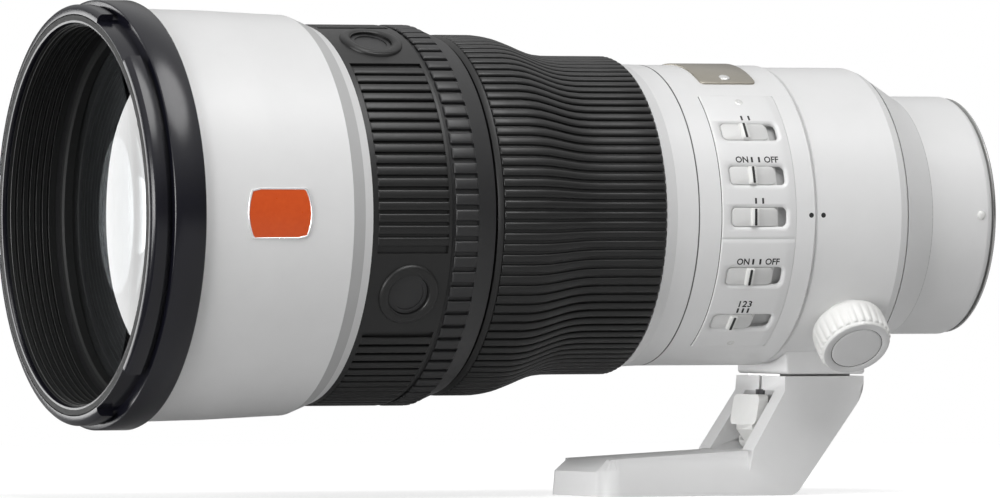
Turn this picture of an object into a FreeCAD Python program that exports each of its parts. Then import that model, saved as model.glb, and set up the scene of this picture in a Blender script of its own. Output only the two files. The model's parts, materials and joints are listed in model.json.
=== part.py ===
import FreeCAD, Part
import math
import os
import re
import Sketcher

# Telephoto lens. X runs along the optical axis, +X towards the camera and -X
# towards the subject. The origin is the centre of the camera flange face, +Z
# is up, and the switches face -Y. Every "..._f" size is a distance ahead of
# the flange face, so it lies at X = -f. Angles round the axis start at -Y and
# rise towards +Z.

SIZES = [
    # clearances and small forms
    ("fit", 0.05, "running clearance"),
    ("air", 0.3, "clearance between moving neighbours"),
    ("bevel", 0.6, "small bevel"),
    ("lens_ledge", 2.0, "ledge that holds an element"),
    # lengths along the axis, from the flange forwards
    ("flange_thick", 2.6, "mount flange thickness"),
    ("rear_wall", 2.0, "wall of the rear barrel"),
    ("filter_rear_f", "=flange_thick + rear_wall + 2.6", "rear of the filter holder"),
    ("filter_long", 10.0, "filter holder along the axis"),
    ("filter_front_f", "=filter_rear_f + filter_long", "front of the filter holder"),
    ("rear_cone_f", "=filter_front_f + 4.0", "end of the rear cone"),
    ("cone_long", 11.6, "rear cone"),
    ("tube_end_f", "=rear_cone_f + cone_long", "rear end of the main tube"),
    ("collar_long", 30.4, "collar ring"),
    ("collar_front_f", "=tube_end_f + collar_long", "front of the collar"),
    ("barrel_long", 38.1, "panel barrel"),
    ("ring_rear_f", "=collar_front_f + barrel_long", "seam behind the white ring"),
    ("ring_long", 11.2, "white ring"),
    ("ring_slope_f", "=ring_rear_f + ring_long * 0.64", "white ring, end of the slope"),
    ("tube_step2_f", "=ring_rear_f + ring_long", "main tube, second step"),
    ("focus_rear_f", "=tube_step2_f + air", "rear of the focus ring"),
    ("focus_long", 56.2, "focus ring"),
    ("focus_front_f", "=focus_rear_f + focus_long", "front of the focus ring"),
    ("focus_rib_f", "=focus_front_f - 1.8", "front of the focus ribs"),
    ("tube_step_f", "=focus_front_f + air", "main tube, first step"),
    ("function_rear_f", "=tube_step_f + 0.7", "rear of the function ring"),
    ("function_long", 14.5, "function ring"),
    ("function_slope_f", "=function_rear_f + function_long * 0.44", "end of the function ring teeth"),
    ("function_front_f", "=function_rear_f + function_long", "front of the function ring"),
    ("grip_rear_f", "=function_front_f + air + 2 * fit", "rear of the hold grip"),
    ("grip_long", 24.9, "hold grip"),
    ("button_f", "=grip_rear_f + grip_long * 0.47", "centre of the hold buttons"),
    ("barrel_end_f", "=grip_rear_f + grip_long", "rear of the front barrel"),
    ("tube_front_f", "=barrel_end_f + 4.4", "front end of the main tube"),
    ("barrel_edge_f", "=barrel_end_f + 7.2", "front barrel, start of the chamfer"),
    ("barrel_mid_f", "=barrel_edge_f + 24.4", "front barrel, middle"),
    ("front_long", 54.2, "front barrel"),
    ("band_rear_f", "=barrel_end_f + front_long", "rear of the wide black band"),
    ("band_long", 10.1, "wide black band"),
    ("band_front_f", "=band_rear_f + band_long", "front of the wide black band"),
    ("lip_rear_f", "=band_front_f + 1.6", "rear of the hood lands"),
    ("lip_long", 4.9, "hood lands"),
    ("front_f", "=lip_rear_f + lip_long", "front rim"),
    # radii, from the front barrel inwards and to the rear
    ("barrel_front_r", 60.0, "front barrel at its front"),
    ("barrel_mid_r", "=barrel_front_r - 0.5", "front barrel, middle"),
    ("barrel_edge_r", "=barrel_mid_r - 1.1", "front barrel before its chamfer"),
    ("barrel_end_r", "=barrel_edge_r - 2.9", "front barrel at its rear"),
    ("shell", 3.4, "wall of the front barrel"),
    ("band_r", "=barrel_front_r + 2.35", "wide black band"),
    ("lip_r", "=barrel_front_r + 1.0", "hood lands"),
    ("hood_groove_r", "=lip_r - 1.7", "floor of the hood groove"),
    ("lip_gap_r", "=lip_r - 2.4", "floor of the hood entry gaps"),
    ("front_bore_r", "=barrel_front_r - 2.8", "bore of the front ring"),
    ("opening_r", "=front_bore_r - 1.7", "front opening"),
    ("baffle_r", "=front_bore_r - 2.0", "bore of the baffle sleeve"),
    ("tube_a_r", "=barrel_end_r - 5.5", "main tube under the hold grip"),
    ("tube_b_r", "=tube_a_r - 7.0", "main tube under the focus ring"),
    ("tube_c_r", "=tube_b_r - 3.0", "main tube under the collar"),
    ("tube_wall", 2.5, "wall of the main tube"),
    ("grip_r", "=tube_a_r + 5.4", "hold grip and function ring, rib tops"),
    ("function_end_r", "=grip_r - 2.7", "function ring at its rear"),
    ("focus_big_r", "=tube_b_r + 9.9", "focus ring, wide end"),
    ("focus_small_r", "=tube_b_r + 3.9", "focus ring, narrow end"),
    ("ring_r", "=tube_c_r + 6.3", "white ring at its front"),
    ("barrel_r", "=tube_c_r + 4.4", "panel barrel"),
    ("collar_r", "=tube_c_r + 3.8", "collar ring"),
    ("cone_r", "=tube_c_r + 2.4", "rear cone, wide end"),
    # hood bayonet and baffle
    ("lip_gap_angle", 23.0, "width of a hood entry gap"),
    ("lip_count", 3, "hood lands"),
    ("lip_depth", 1.6, "thickness of the front lip"),
    ("baffle_ridge", 0.5, "height of a baffle ridge"),
    ("baffle_pitch", 2.0, "distance between baffle ridges"),
    ("baffle_ridges", 6, "number of baffle ridges"),
    # front group
    ("cell_r", "=barrel_front_r - shell - 2 * fit", "outside of the front cell"),
    ("glass_a_r", "=cell_r - 2.6", "front element radius"),
    ("glass_a_thick", 13.0, "front element"),
    ("glass_a_front", 190.0, "front element, front face"),
    ("glass_a_rear", 700.0, "front element, rear face"),
    ("ring_glass_r", "=glass_a_r + 1.5", "outside of the retaining ring"),
    ("ring_bore_r", "=glass_a_r - 1.0", "bore of the retaining ring"),
    ("ring_front_f", "=band_rear_f - 1.4", "front of the retaining ring"),
    ("ring_thick", 3.0, "retaining ring thickness"),
    ("glass_b_r", "=tube_a_r", "second element radius"),
    ("glass_b_f", "=barrel_mid_f - 3.0", "second element, front edge"),
    ("glass_b_thick", 15.0, "second element"),
    ("glass_b_front", 150.0, "second element, front face"),
    ("glass_b_rear", 420.0, "second element, rear face"),
    # hold grip and its buttons
    ("rib_depth", 0.9, "depth between rubber ribs"),
    ("hold_ribs", 18, "ribs between two pads"),
    ("pad_angle", 26.0, "width of a smooth pad"),
    ("button_first", 65.5, "angle of the first hold button"),
    ("button_count", 4, "hold buttons"),
    ("button_r", 6.0, "hold button disc"),
    ("button_gap", 0.15, "gap round a hold button"),
    ("button_rim_r", "=button_r + 2.75", "raised rim round a hold button"),
    ("button_rim", 0.35, "height of the rim"),
    ("button_press", 0.8, "hold button travel"),
    # function ring and focus ring
    ("function_teeth", 76, "teeth of the function ring"),
    ("focus_ribs", 104, "ribs of the focus ring"),
    ("sleeve_wall", 1.4, "wall of the focus sleeve"),
    ("bearing_long", 5.0, "bearing land of the focus sleeve"),
    # switch panel
    ("panel_front_f", "=ring_rear_f - 7.3", "front edge of the switch panel"),
    ("panel_rear_f", "=collar_front_f + 6.8", "rear edge of the switch panel"),
    ("panel_low_angle", -60.0, "lower end of the switch panel"),
    ("panel_high_angle", 52.0, "upper end of the switch panel"),
    ("panel_rise", 0.4, "switch panel above the barrel"),
    ("panel_sink", 0.9, "switch panel below the barrel surface"),
    ("bead_angle", -9.0, "bead line across the panel"),
    ("slot_f", "=(panel_front_f + panel_rear_f) / 2", "middle of the switch slots"),
    ("slide_wide", 5.5, "width of a switch slide"),
    ("slot_wide", "=slide_wide + air", "width of a slot"),
    ("slide_long", 14.6, "length of a switch slide"),
    ("mode_long", 12.9, "length of the three-place slide"),
    ("slide_base", 0.9, "flange of a slide under the panel"),
    ("slide_end", 1.0, "flange of a slide beyond its ends"),
    ("slide_rib", 1.6, "thumb rib along the travel"),
    ("slide_rib_rise", 1.0, "thumb rib height"),
    ("slide_sink", 0.35, "slide face below the panel face"),
    ("slide_floor", "=barrel_r - panel_sink - slide_base - 5 * fit", "underside of the switch slides"),
    ("switch_travel", 3.1, "travel of a two-place switch"),
    ("mode_travel", 6.0, "travel of the three-place switch"),
    # top plate
    ("plate_front_f", "=panel_front_f - 3.3", "front of the top plate"),
    ("plate_rear_f", "=panel_rear_f + 2.7", "rear of the top plate"),
    ("plate_angle", 60.0, "width of the top plate"),
    ("plate_thick", 0.5, "top plate thickness"),
    # collar and its lock
    ("collar_wall", 2.3, "collar ring wall"),
    ("liner_long", 4.0, "length of a collar liner"),
    ("knob_angle", -45.0, "lock knob"),
    ("knob_f", "=tube_end_f + 15.2", "lock knob"),
    ("knob_r", 11.0, "lock knob radius"),
    ("knob_foot", "=collar_r + 1.6", "underside of the lock knob from the axis"),
    ("knob_tall", 10.1, "lock knob"),
    ("knob_top", "=knob_foot + knob_tall", "top of the lock knob from the axis"),
    ("knob_flutes", 28, "flutes of the lock knob"),
    ("flute_r", 0.75, "flute radius"),
    ("neck_r", "=knob_r - 3.0", "boss under the lock knob"),
    ("screw_r", 2.0, "lock screw"),
    ("shoe_r", 4.8, "brake shoe"),
    ("shoe_thick", 2.4, "brake shoe thickness"),
    ("shoe_lift", 0.7, "brake shoe travel in a turn of the knob"),
    # collar base, foot and rail
    ("foot_wide", 41.0, "width of the foot and the collar base"),
    ("base_front_f", "=collar_front_f - 2.2", "front of the collar base"),
    ("base_rear_f", "=tube_end_f + 4.0", "rear of the collar base and foot"),
    ("base_z", "=collar_r + 3.2", "underside of the collar base"),
    ("foot_top_z", "=base_z + 2 * air", "top of the foot"),
    ("foot_tall", 35.1, "height of the foot"),
    ("foot_z", "=foot_top_z + foot_tall", "sole of the foot"),
    ("stem_front_f", "=base_front_f + 1.5", "front of the foot clamp"),
    ("stem_break_z", "=foot_top_z + 4.3", "foot clamp height, front"),
    ("stem_low_f", "=stem_front_f + 10.2", "front of the stem at the plate"),
    ("stem_low_z", "=foot_z - 13.6", "top of the plate at the stem"),
    ("stem_back_z", "=foot_top_z + 5.3", "end of the upright rear face"),
    ("plate_end_f", "=base_rear_f + 22.1", "rear end of the sole"),
    ("plate_long", 62.5, "sole of the foot"),
    ("plate_tip_f", "=plate_end_f + plate_long", "front end of the sole"),
    ("plate_side", 7.2, "upright side of the foot plate"),
    ("plate_bevel", 3.7, "bevel round the foot plate"),
    ("plate_corner", 6.0, "corner radius of the foot plate"),
    ("cheek", 8.5, "side walls of the stem"),
    ("rail_half", 11.0, "half width of the rail at its root"),
    ("rail_flare", 2.0, "extra half width of the rail below"),
    ("rail_deep", 4.0, "height of the rail"),
    ("rail_front_f", "=stem_front_f - 2.8", "front end of the rail"),
    ("slit", 2.0, "slit in the front of the clamp"),
    # lock lever, pin and clamp plunger
    ("pivot_f", "=stem_front_f - 1.6", "lever pin"),
    ("pivot_z", "=foot_z - 16.2", "lever pin"),
    ("pin_r", 1.5, "lever pin radius"),
    ("hub_r", 2.8, "lever hub"),
    ("cam_rise", 0.4, "cam nose above the hub"),
    ("cam_wide", 1.0, "cam nose"),
    ("lever_wide", "=foot_wide - 2 * cheek - 6.0", "lever pad width"),
    ("lever_top_z", "=stem_break_z + 1.2", "top of the lever pad"),
    ("lever_low_z", "=pivot_z - 4.5", "bottom of the lever pad"),
    ("lever_thick", 3.0, "lever pad thickness"),
    ("lever_front_f", "=pivot_f + 5.9", "front of the lever pad, low end"),
    ("lever_lean", 1.5, "how far the pad leans back at its top"),
    ("plunger_r", 2.5, "clamp plunger"),
    ("plunger_x", 1.2, "clamp plunger behind the lever pin"),
    # sockets in the sole
    ("socket_f", "=plate_tip_f - 34.0", "large socket in the sole"),
    ("socket_gap", 16.0, "from the large socket to the small one"),
    ("socket_big_r", 3.97, "wall of the 3/8 in socket"),
    ("socket_small_r", 2.55, "wall of the 1/4 in socket"),
    ("socket_wall", 2.2, "wall of a socket insert"),
    ("socket_deep", 8.5, "depth of a socket"),
    # camera mount
    ("throat_r", 20.4, "bore of the mount"),
    ("collar_mount_r", "=throat_r + 1.4", "bayonet collar"),
    ("tab_r", "=collar_mount_r + 1.2", "bayonet tabs"),
    ("tab_relief", "=tab_r + 0.4", "relief round the bayonet collar"),
    ("tab_front", 3.4, "bayonet tabs behind the flange face"),
    ("tab_thick", 1.8, "bayonet tab thickness"),
    ("tab_end", "=tab_front + tab_thick", "end of the bayonet"),
    ("tab_angle", 62.0, "width of a bayonet tab"),
    ("tab_count", 3, "bayonet tabs"),
    ("flange_r", "=throat_r + 10.6", "mount flange"),
    ("rear_r", "=flange_r + 4.4", "rear cylinder"),
    ("gasket_wide", 1.2, "width of the dust gasket"),
    ("gasket_rise", 0.35, "gasket behind the flange face"),
    ("mount_screw_r", "=flange_r - 3.8", "pitch circle of the mount screws"),
    ("mount_screws", 4, "mount screws"),
    ("head_r", 1.9, "mount screw head"),
    ("head_thick", 1.2, "mount screw head"),
    ("shank_r", 0.9, "mount screw shank"),
    ("baffle_hole_r", 14.5, "window of the rear baffle"),
    ("contact_count", 10, "contact pins"),
    ("contact_angle", 8.0, "angle between two contact pins"),
    ("contact_r", 0.5, "contact pin"),
    ("contact_deep", 4.0, "contact block, radial depth"),
    # drop-in filter
    ("filter_angle", 122.5, "direction in which the filter comes out"),
    ("filter_r", "=rear_r - 12.4", "filter frame"),
    ("filter_glass_r", "=filter_r - 3.0", "filter glass"),
    ("filter_pane", 2.0, "filter glass thickness"),
    ("cage_wall", 1.2, "end wall of the filter cage"),
    ("lock_r", 3.4, "filter lock"),
    ("lock_deep", 3.0, "seat of the filter lock"),
    # focus groups
    ("rod_r", 1.5, "guide rod"),
    ("ear", 1.2, "metal round a guide rod"),
    ("rod_ring_r", "=tube_b_r - tube_wall - rod_r - ear - 4 * fit", "guide rods from the axis"),
    ("plate_wall", 2.0, "end plate of the focus unit"),
    ("carriage_r", "=rod_ring_r - 3.6", "focus carriage"),
    ("carriage_long", 9.0, "length of a focus carriage"),
    ("focus_a_f", "=tube_step_f - 13.9", "front focus carriage"),
    ("focus_a_r", "=carriage_r - 7.0", "front focus element"),
    ("focus_a_thick", 5.0, "front focus element"),
    ("focus_a_front", 110.0, "front focus element, front face"),
    ("focus_a_rear", 80.0, "front focus element, hollow rear face"),
    ("focus_b_f", "=tube_step2_f + 20.1", "rear focus carriage"),
    ("focus_b_r", "=carriage_r - 9.0", "rear focus element"),
    ("focus_b_thick", 3.0, "rear focus element"),
    ("focus_b_front", 120.0, "rear focus element, hollow front face"),
    ("focus_b_rear", 300.0, "rear focus element, rear face"),
    ("motor_thick", 3.5, "focus motor"),
    ("motor_wide", 10.0, "focus motor"),
    # iris, stabiliser and rear group
    ("iris_f", "=tube_step2_f - 5.9", "front of the iris unit"),
    ("iris_long", 7.0, "iris unit"),
    ("iris_bore_r", 22.0, "iris unit bore"),
    ("steady_f", "=iris_f - 12.0", "front of the stabiliser frame"),
    ("steady_long", 12.0, "stabiliser frame"),
    ("steady_group_r", 24.5, "stabiliser group"),
    ("steady_shift", 1.0, "stabiliser travel each way"),
    ("steady_rim", 3.0, "guide rim of the stabiliser group"),
    ("steady_bore_r", "=steady_group_r + 2 * steady_shift + 10 * fit", "stabiliser frame bore"),
    ("steady_r", "=steady_group_r - 5.5", "stabiliser element"),
    ("steady_thick", 5.0, "stabiliser element"),
    ("steady_front", 120.0, "stabiliser element, front face"),
    ("steady_rear", 200.0, "stabiliser element, rear face"),
    ("rear_group_f", "=steady_f - 24.0", "front of the rear group"),
    ("rear_group_long", 22.0, "rear group"),
    ("rear_a_r", 20.5, "rear group element"),
    ("rear_a_thick", 6.0, "rear group element"),
    ("rear_a_front", 90.0, "rear group element, front face"),
    ("rear_a_rear", 160.0, "rear group element, rear face"),
    ("board_f", "=tube_end_f + 5.6", "front of the main board"),
    ("board_thick", 1.6, "main board"),
]

doc = FreeCAD.newDocument("telephoto_lens")
sheet = doc.addObject("Spreadsheet::Sheet", "dims")
for row, (name, value, note) in enumerate(SIZES, start=1):
    sheet.set("A%d" % row, name)
    sheet.set("B%d" % row, str(value))
    sheet.set("C%d" % row, note)
    sheet.setAlias("B%d" % row, name)
    doc.recompute()
doc.recompute()

FUNCTIONS = {"sqrt", "sin", "cos", "tan"}
AXIS = FreeCAD.Vector(1, 0, 0)
ORIGIN = FreeCAD.Vector(0, 0, 0)
sub_parts = []


def bound(text):
    """Writes the sheet's name before each alias of an expression."""
    def prefix(found):
        word = found.group(0)
        return word if word in FUNCTIONS else "dims." + word
    return re.sub(r"[a-z][a-z_0-9]*", prefix, str(text))


def size(text):
    value = sheet.evalExpression(bound(text))
    return float(getattr(value, "Value", value))


def new_body(label):
    body = doc.addObject("PartDesign::Body", label)
    body.Label = label
    sub_parts.append(body)
    return body


def grouped(label, members):
    """Several separate solids that share one node."""
    group = doc.addObject("Part::Compound", label)
    group.Label = label
    group.Links = members
    for member in members:
        sub_parts.remove(member)
    sub_parts.append(group)


def turn(body, angle):
    """Turns a piece made at the top of the barrel to its angle from -Y."""
    body.Placement = FreeCAD.Placement(ORIGIN, FreeCAD.Rotation(AXIS, 1))
    body.setExpression("Placement.Rotation.Angle", bound("90 - (%s)" % angle))


def new_sketch(body, name, plane, height=None, angle=None):
    """A sketch on an origin plane, raised by height, turned round the axis."""
    sketch = body.newObject("Sketcher::SketchObject", body.Label + "_" + name)
    planes = [item for item in body.Origin.OriginFeatures if item.Role == plane]
    sketch.AttachmentSupport = [(planes[0], "")]
    sketch.MapMode = "FlatFace"
    if angle is not None:
        sketch.AttachmentOffset = FreeCAD.Placement(ORIGIN, FreeCAD.Rotation(AXIS, 1))
        sketch.setExpression("AttachmentOffset.Rotation.Angle", bound("90 - (%s)" % angle))
        if height is not None:
            sketch.setExpression("AttachmentOffset.Base.y",
                                 bound("-(%s) * sin(90 - (%s))" % (height, angle)))
            sketch.setExpression("AttachmentOffset.Base.z",
                                 bound("(%s) * cos(90 - (%s))" % (height, angle)))
    elif height is not None:
        sketch.setExpression("AttachmentOffset.Base.z", bound(height))
    return sketch


def pin_point(sketch, geometry, vertex, point):
    """Ties a vertex to its two expressions."""
    for kind, text in (("DistanceX", point[0]), ("DistanceY", point[1])):
        rule = Sketcher.Constraint(kind, -1, 1, geometry, vertex, size(text))
        sketch.setExpression("Constraints[%d]" % sketch.addConstraint(rule), bound(text))


def outline(sketch, points):
    """A closed outline. A third value makes the next side an arc of that
    radius, with its centre to the left of the way round if it is positive."""
    corners = [FreeCAD.Vector(size(p[0]), size(p[1]), 0) for p in points]
    ends = []
    for place, point in enumerate(points):
        start = corners[place]
        stop = corners[(place + 1) % len(points)]
        if len(point) == 2:
            number = sketch.addGeometry(Part.LineSegment(start, stop))
            ends.append((number, 1, 2))
            continue
        radius = size(point[2])
        middle = (start + stop) * 0.5
        along = stop - start
        left = FreeCAD.Vector(-along.y, along.x, 0).normalize()
        reach = math.sqrt(radius ** 2 - along.Length ** 2 / 4)
        side = 1 if radius > 0 else -1
        crown = middle + left * side * (reach - abs(radius))
        arc = Part.Arc(start, crown, stop)
        number = sketch.addGeometry(arc)
        forward = (sketch.getPoint(number, 1) - start).Length < 1e-6
        ends.append((number, 1, 2) if forward else (number, 2, 1))
    for place in range(len(points)):
        here = ends[place]
        after = ends[(place + 1) % len(points)]
        sketch.addConstraint(Sketcher.Constraint("Coincident", here[0], here[2], after[0], after[1]))
    for place, point in enumerate(points):
        pin_point(sketch, ends[place][0], ends[place][1], point)
        if len(point) == 3:
            rule = Sketcher.Constraint("Radius", ends[place][0], abs(size(point[2])))
            number = sketch.addConstraint(rule)
            text = point[2] if size(point[2]) > 0 else "-(%s)" % point[2]
            sketch.setExpression("Constraints[%d]" % number, bound(text))
    return sketch


def ahead(points):
    """Turns points given as distance ahead of the flange and radius into sketch points."""
    return [("-(%s)" % point[0],) + tuple(point[1:]) for point in points]


def circles(sketch, places, radius):
    for place in places:
        centre = FreeCAD.Vector(size(place[0]), size(place[1]), 0)
        number = sketch.addGeometry(Part.Circle(centre, FreeCAD.Vector(0, 0, 1), size(radius)))
        rule = Sketcher.Constraint("Radius", number, size(radius))
        sketch.setExpression("Constraints[%d]" % sketch.addConstraint(rule), bound(radius))
        pin_point(sketch, number, 3, place)
    return sketch


def rectangle(sketch, x_from, x_to, y_from, y_to):
    return outline(sketch, [(x_from, y_from), (x_to, y_from), (x_to, y_to), (x_from, y_to)])


def rounded(sketch, x_from, x_to, y_from, y_to, radius):
    """A rectangle with round corners."""
    r = "(%s)" % radius
    x0, x1, y0, y1 = ["(%s)" % side for side in (x_from, x_to, y_from, y_to)]
    return outline(sketch, [
        (x0 + " + " + r, y0), (x1 + " - " + r, y0, r),
        (x1, y0 + " + " + r), (x1, y1 + " - " + r, r),
        (x1 + " - " + r, y1), (x0 + " + " + r, y1, r),
        (x0, y1 + " - " + r), (x0, y0 + " + " + r, r)])


def solid(body, kind, sketch, length=None, angle=None, both=False, reverse=False, taper=None):
    """Adds a Pad, Pocket, Revolution or Groove made from the sketch."""
    feature = body.newObject("PartDesign::" + kind, sketch.Label + "_" + kind.lower())
    feature.Profile = sketch
    if kind in ("Revolution", "Groove"):
        feature.ReferenceAxis = (sketch, ["H_Axis"])
        feature.Angle = 360
        if angle is not None:
            feature.setExpression("Angle", bound(angle))
    elif length is None:
        feature.Type = "ThroughAll"
    else:
        feature.setExpression("Length", bound(length))
    if both:
        feature.Midplane = True
    if reverse:
        feature.Reversed = True
    if taper is not None:
        feature.TaperAngle = taper
    sketch.Visibility = False
    return feature


def repeat(body, feature, count, sketch, axis="N_Axis", angle=None):
    """Repeats a feature round an axis of its sketch."""
    pattern = body.newObject("PartDesign::PolarPattern", feature.Label + "_pattern")
    pattern.Originals = [feature]
    pattern.Axis = (sketch, [axis])
    pattern.Angle = 360
    if angle is not None:
        pattern.setExpression("Angle", bound(angle))
    pattern.setExpression("Occurrences", bound(count))
    body.Tip = pattern
    return pattern


def revolved(label, points, angle=None, centre=None):
    """A turned piece, or a sector of one centred on an angle."""
    body = new_body(label)
    sketch = outline(new_sketch(body, "profile", "XZ_Plane", angle=centre), ahead(points))
    solid(body, "Revolution", sketch, angle=angle, both=angle is not None)
    return body


def tube(label, from_f, to_f, outer, inner):
    return revolved(label, [(from_f, inner), (from_f, outer), (to_f, outer), (to_f, inner)])


def sag(radius, edge):
    """Depth of a spherical face at its edge."""
    return "((%s) - sqrt((%s) * (%s) - (%s) * (%s)))" % (radius, radius, radius, edge, edge)


def rear_edge(edge_f, name, front, rear):
    """Rear rim of an element. front and rear are 1 for a face that bulges outwards."""
    return "%s %s %s - %s_thick %s %s" % (
        edge_f, "+" if front > 0 else "-", sag(name + "_front", name + "_r"), name,
        "+" if rear > 0 else "-", sag(name + "_rear", name + "_r"))


def glass(label, edge_f, name, front, rear):
    """A lens element whose front rim is at edge_f."""
    vertex = "%s %s %s" % (edge_f, "+" if front > 0 else "-", sag(name + "_front", name + "_r"))
    return revolved(label, [
        (vertex, "0", "%s_front" % name if front < 0 else "-%s_front" % name),
        (edge_f, name + "_r"),
        (rear_edge(edge_f, name, front, rear), name + "_r",
         "%s_rear" % name if rear < 0 else "-%s_rear" % name),
        ("%s - %s_thick" % (vertex, name), "0")])


def radial_cut(body, name, angle, shape, height="0"):
    """Cuts outwards from the given height along a radius."""
    sketch = new_sketch(body, name, "XY_Plane", height, angle)
    shape(sketch)
    return solid(body, "Pocket", sketch, reverse=True)


def drilled(place_f, radius):
    return lambda sketch: circles(sketch, [("-(%s)" % place_f, "0")], radius)


def slotted(from_f, to_f, half, corner):
    return lambda sketch: rounded(sketch, "-(%s)" % from_f, "-(%s)" % to_f,
                                  "-(%s)" % half, half, corner)


# Front ring with the hood bayonet
def front_ring():
    body = revolved("front_ring", [
        ("front_f", "opening_r + bevel"),
        ("front_f", "lip_r - 2 * bevel", "-2 * bevel"),
        ("front_f - 2 * bevel", "lip_r"),
        ("lip_rear_f", "lip_r"),
        ("lip_rear_f", "hood_groove_r"),
        ("band_front_f", "hood_groove_r"),
        ("band_front_f", "band_r - bevel"),
        ("band_front_f - bevel", "band_r"),
        ("band_rear_f + 2 * bevel", "band_r"),
        ("band_rear_f", "band_r - 2 * bevel"),
        ("band_rear_f", "front_bore_r"),
        ("front_f - lip_depth", "front_bore_r"),
        ("front_f - lip_depth", "opening_r"),
        ("front_f - bevel", "opening_r")])
    sketch = new_sketch(body, "entry_gap", "XZ_Plane", angle="180 / lip_count")
    rectangle(sketch, "-front_f - 1", "-band_front_f", "lip_gap_r", "lip_r + 1")
    gap = solid(body, "Groove", sketch, angle="lip_gap_angle", both=True)
    doc.recompute()
    repeat(body, gap, "lip_count", sketch, "H_Axis")


# Sleeve with fine ridges behind the front lip
def light_baffle():
    points = [("front_f - lip_depth", "front_bore_r - fit"),
              ("band_rear_f", "front_bore_r - fit"),
              ("band_rear_f", "baffle_r")]
    for number in reversed(range(int(size("baffle_ridges")))):
        foot = "front_f - lip_depth - baffle_pitch * %d" % (number + 1)
        points.append((foot + " - baffle_ridge", "baffle_r"))
        points.append((foot, "baffle_r - baffle_ridge"))
        points.append((foot, "baffle_r"))
    points.append(("front_f - lip_depth", "baffle_r"))
    revolved("light_baffle", points)


# White front barrel
def front_barrel():
    revolved("front_barrel", [
        ("band_rear_f", "barrel_front_r - shell"),
        ("band_rear_f", "barrel_front_r"),
        ("barrel_mid_f", "barrel_mid_r"),
        ("barrel_edge_f", "barrel_edge_r"),
        ("barrel_end_f", "barrel_end_r"),
        ("barrel_end_f", "tube_a_r"),
        ("tube_front_f", "tube_a_r"),
        ("tube_front_f", "barrel_front_r - shell")])


def rise(face, edge, ledge):
    """How far a face bulges between a ledge and its rim."""
    return "(%s - %s)" % (sag(face, edge), sag(face, ledge))


# Cell with the two front elements and their retaining rings
def front_group():
    ring_seat = "ring_front_f - ring_thick"
    ledge_a = "(glass_a_r - lens_ledge)"
    ledge_b = "(glass_b_r - lens_ledge)"
    front_a = "%s - %s" % (ring_seat, rise("glass_a_front", "glass_a_r", "ring_bore_r"))
    rim_a = rear_edge(front_a, "glass_a", 1, 1)
    rim_b = rear_edge("glass_b_f", "glass_b", 1, 1)
    seat_a = "%s - %s" % (rim_a, rise("glass_a_rear", "glass_a_r", ledge_a))
    seat_b = "%s - %s" % (rim_b, rise("glass_b_rear", "glass_b_r", ledge_b))
    ring_b = "glass_b_f + %s" % rise("glass_b_front", "glass_b_r", ledge_b)
    glass("front_element", front_a, "glass_a", 1, 1)
    glass("second_element", "glass_b_f", "glass_b", 1, 1)
    revolved("front_cell", [
        ("band_rear_f", "ring_glass_r"),
        ("band_rear_f", "cell_r"),
        ("barrel_mid_f", "cell_r"),
        ("tube_front_f + ring_thick", "glass_b_r + ring_thick"),
        ("tube_front_f", "glass_b_r + ring_thick"),
        ("tube_front_f", "tube_a_r - tube_wall"),
        (seat_b, "glass_b_r - lens_ledge"),
        (seat_b, "glass_b_r + fit"),
        (ring_b, "glass_b_r + fit"),
        (ring_b, "glass_a_r - lens_ledge"),
        (seat_a, "glass_a_r - lens_ledge"),
        (seat_a, "glass_a_r + fit"),
        (ring_seat, "glass_a_r + fit"),
        (ring_seat, "ring_glass_r")])
    outer_ring = revolved("retaining_ring_a", [
        ("ring_front_f", "ring_glass_r - fit"),
        (ring_seat, "ring_glass_r - fit"),
        (ring_seat, "ring_bore_r"),
        ("ring_front_f - bevel", "ring_bore_r"),
        ("ring_front_f", "ring_bore_r + bevel")])
    inner_ring = tube("retaining_ring_b", ring_b + " + ring_thick", ring_b,
                      "glass_a_r - lens_ledge - fit", "glass_b_r - lens_ledge")
    grouped("retaining_rings", [outer_ring, inner_ring])


# Stepped tube that carries everything
def main_tube():
    body = revolved("main_tube", [
        ("tube_front_f", "tube_a_r - tube_wall"),
        ("tube_front_f", "tube_a_r"),
        ("tube_step_f", "tube_a_r"),
        ("tube_step_f", "tube_b_r"),
        ("tube_step2_f", "tube_b_r"),
        ("tube_step2_f", "tube_c_r"),
        ("tube_end_f", "tube_c_r"),
        ("tube_end_f", "tube_c_r - tube_wall"),
        ("tube_step2_f + tube_wall", "tube_c_r - tube_wall"),
        ("tube_step2_f + tube_wall", "tube_b_r - tube_wall"),
        ("tube_step_f + tube_wall", "tube_b_r - tube_wall"),
        ("tube_step_f + tube_wall", "tube_a_r - tube_wall")])
    for number in range(int(size("button_count"))):
        radial_cut(body, "stem_way_%d" % (number + 1),
                   "(button_first + %d * 360 / button_count)" % number,
                   drilled("button_f", "rod_r + fit"))


def around(radius, angle, place_f):
    """A point at an angle from -Y round the axis."""
    turned = math.radians(angle)
    return FreeCAD.Vector(-place_f, -radius * math.cos(turned), radius * math.sin(turned))


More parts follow.
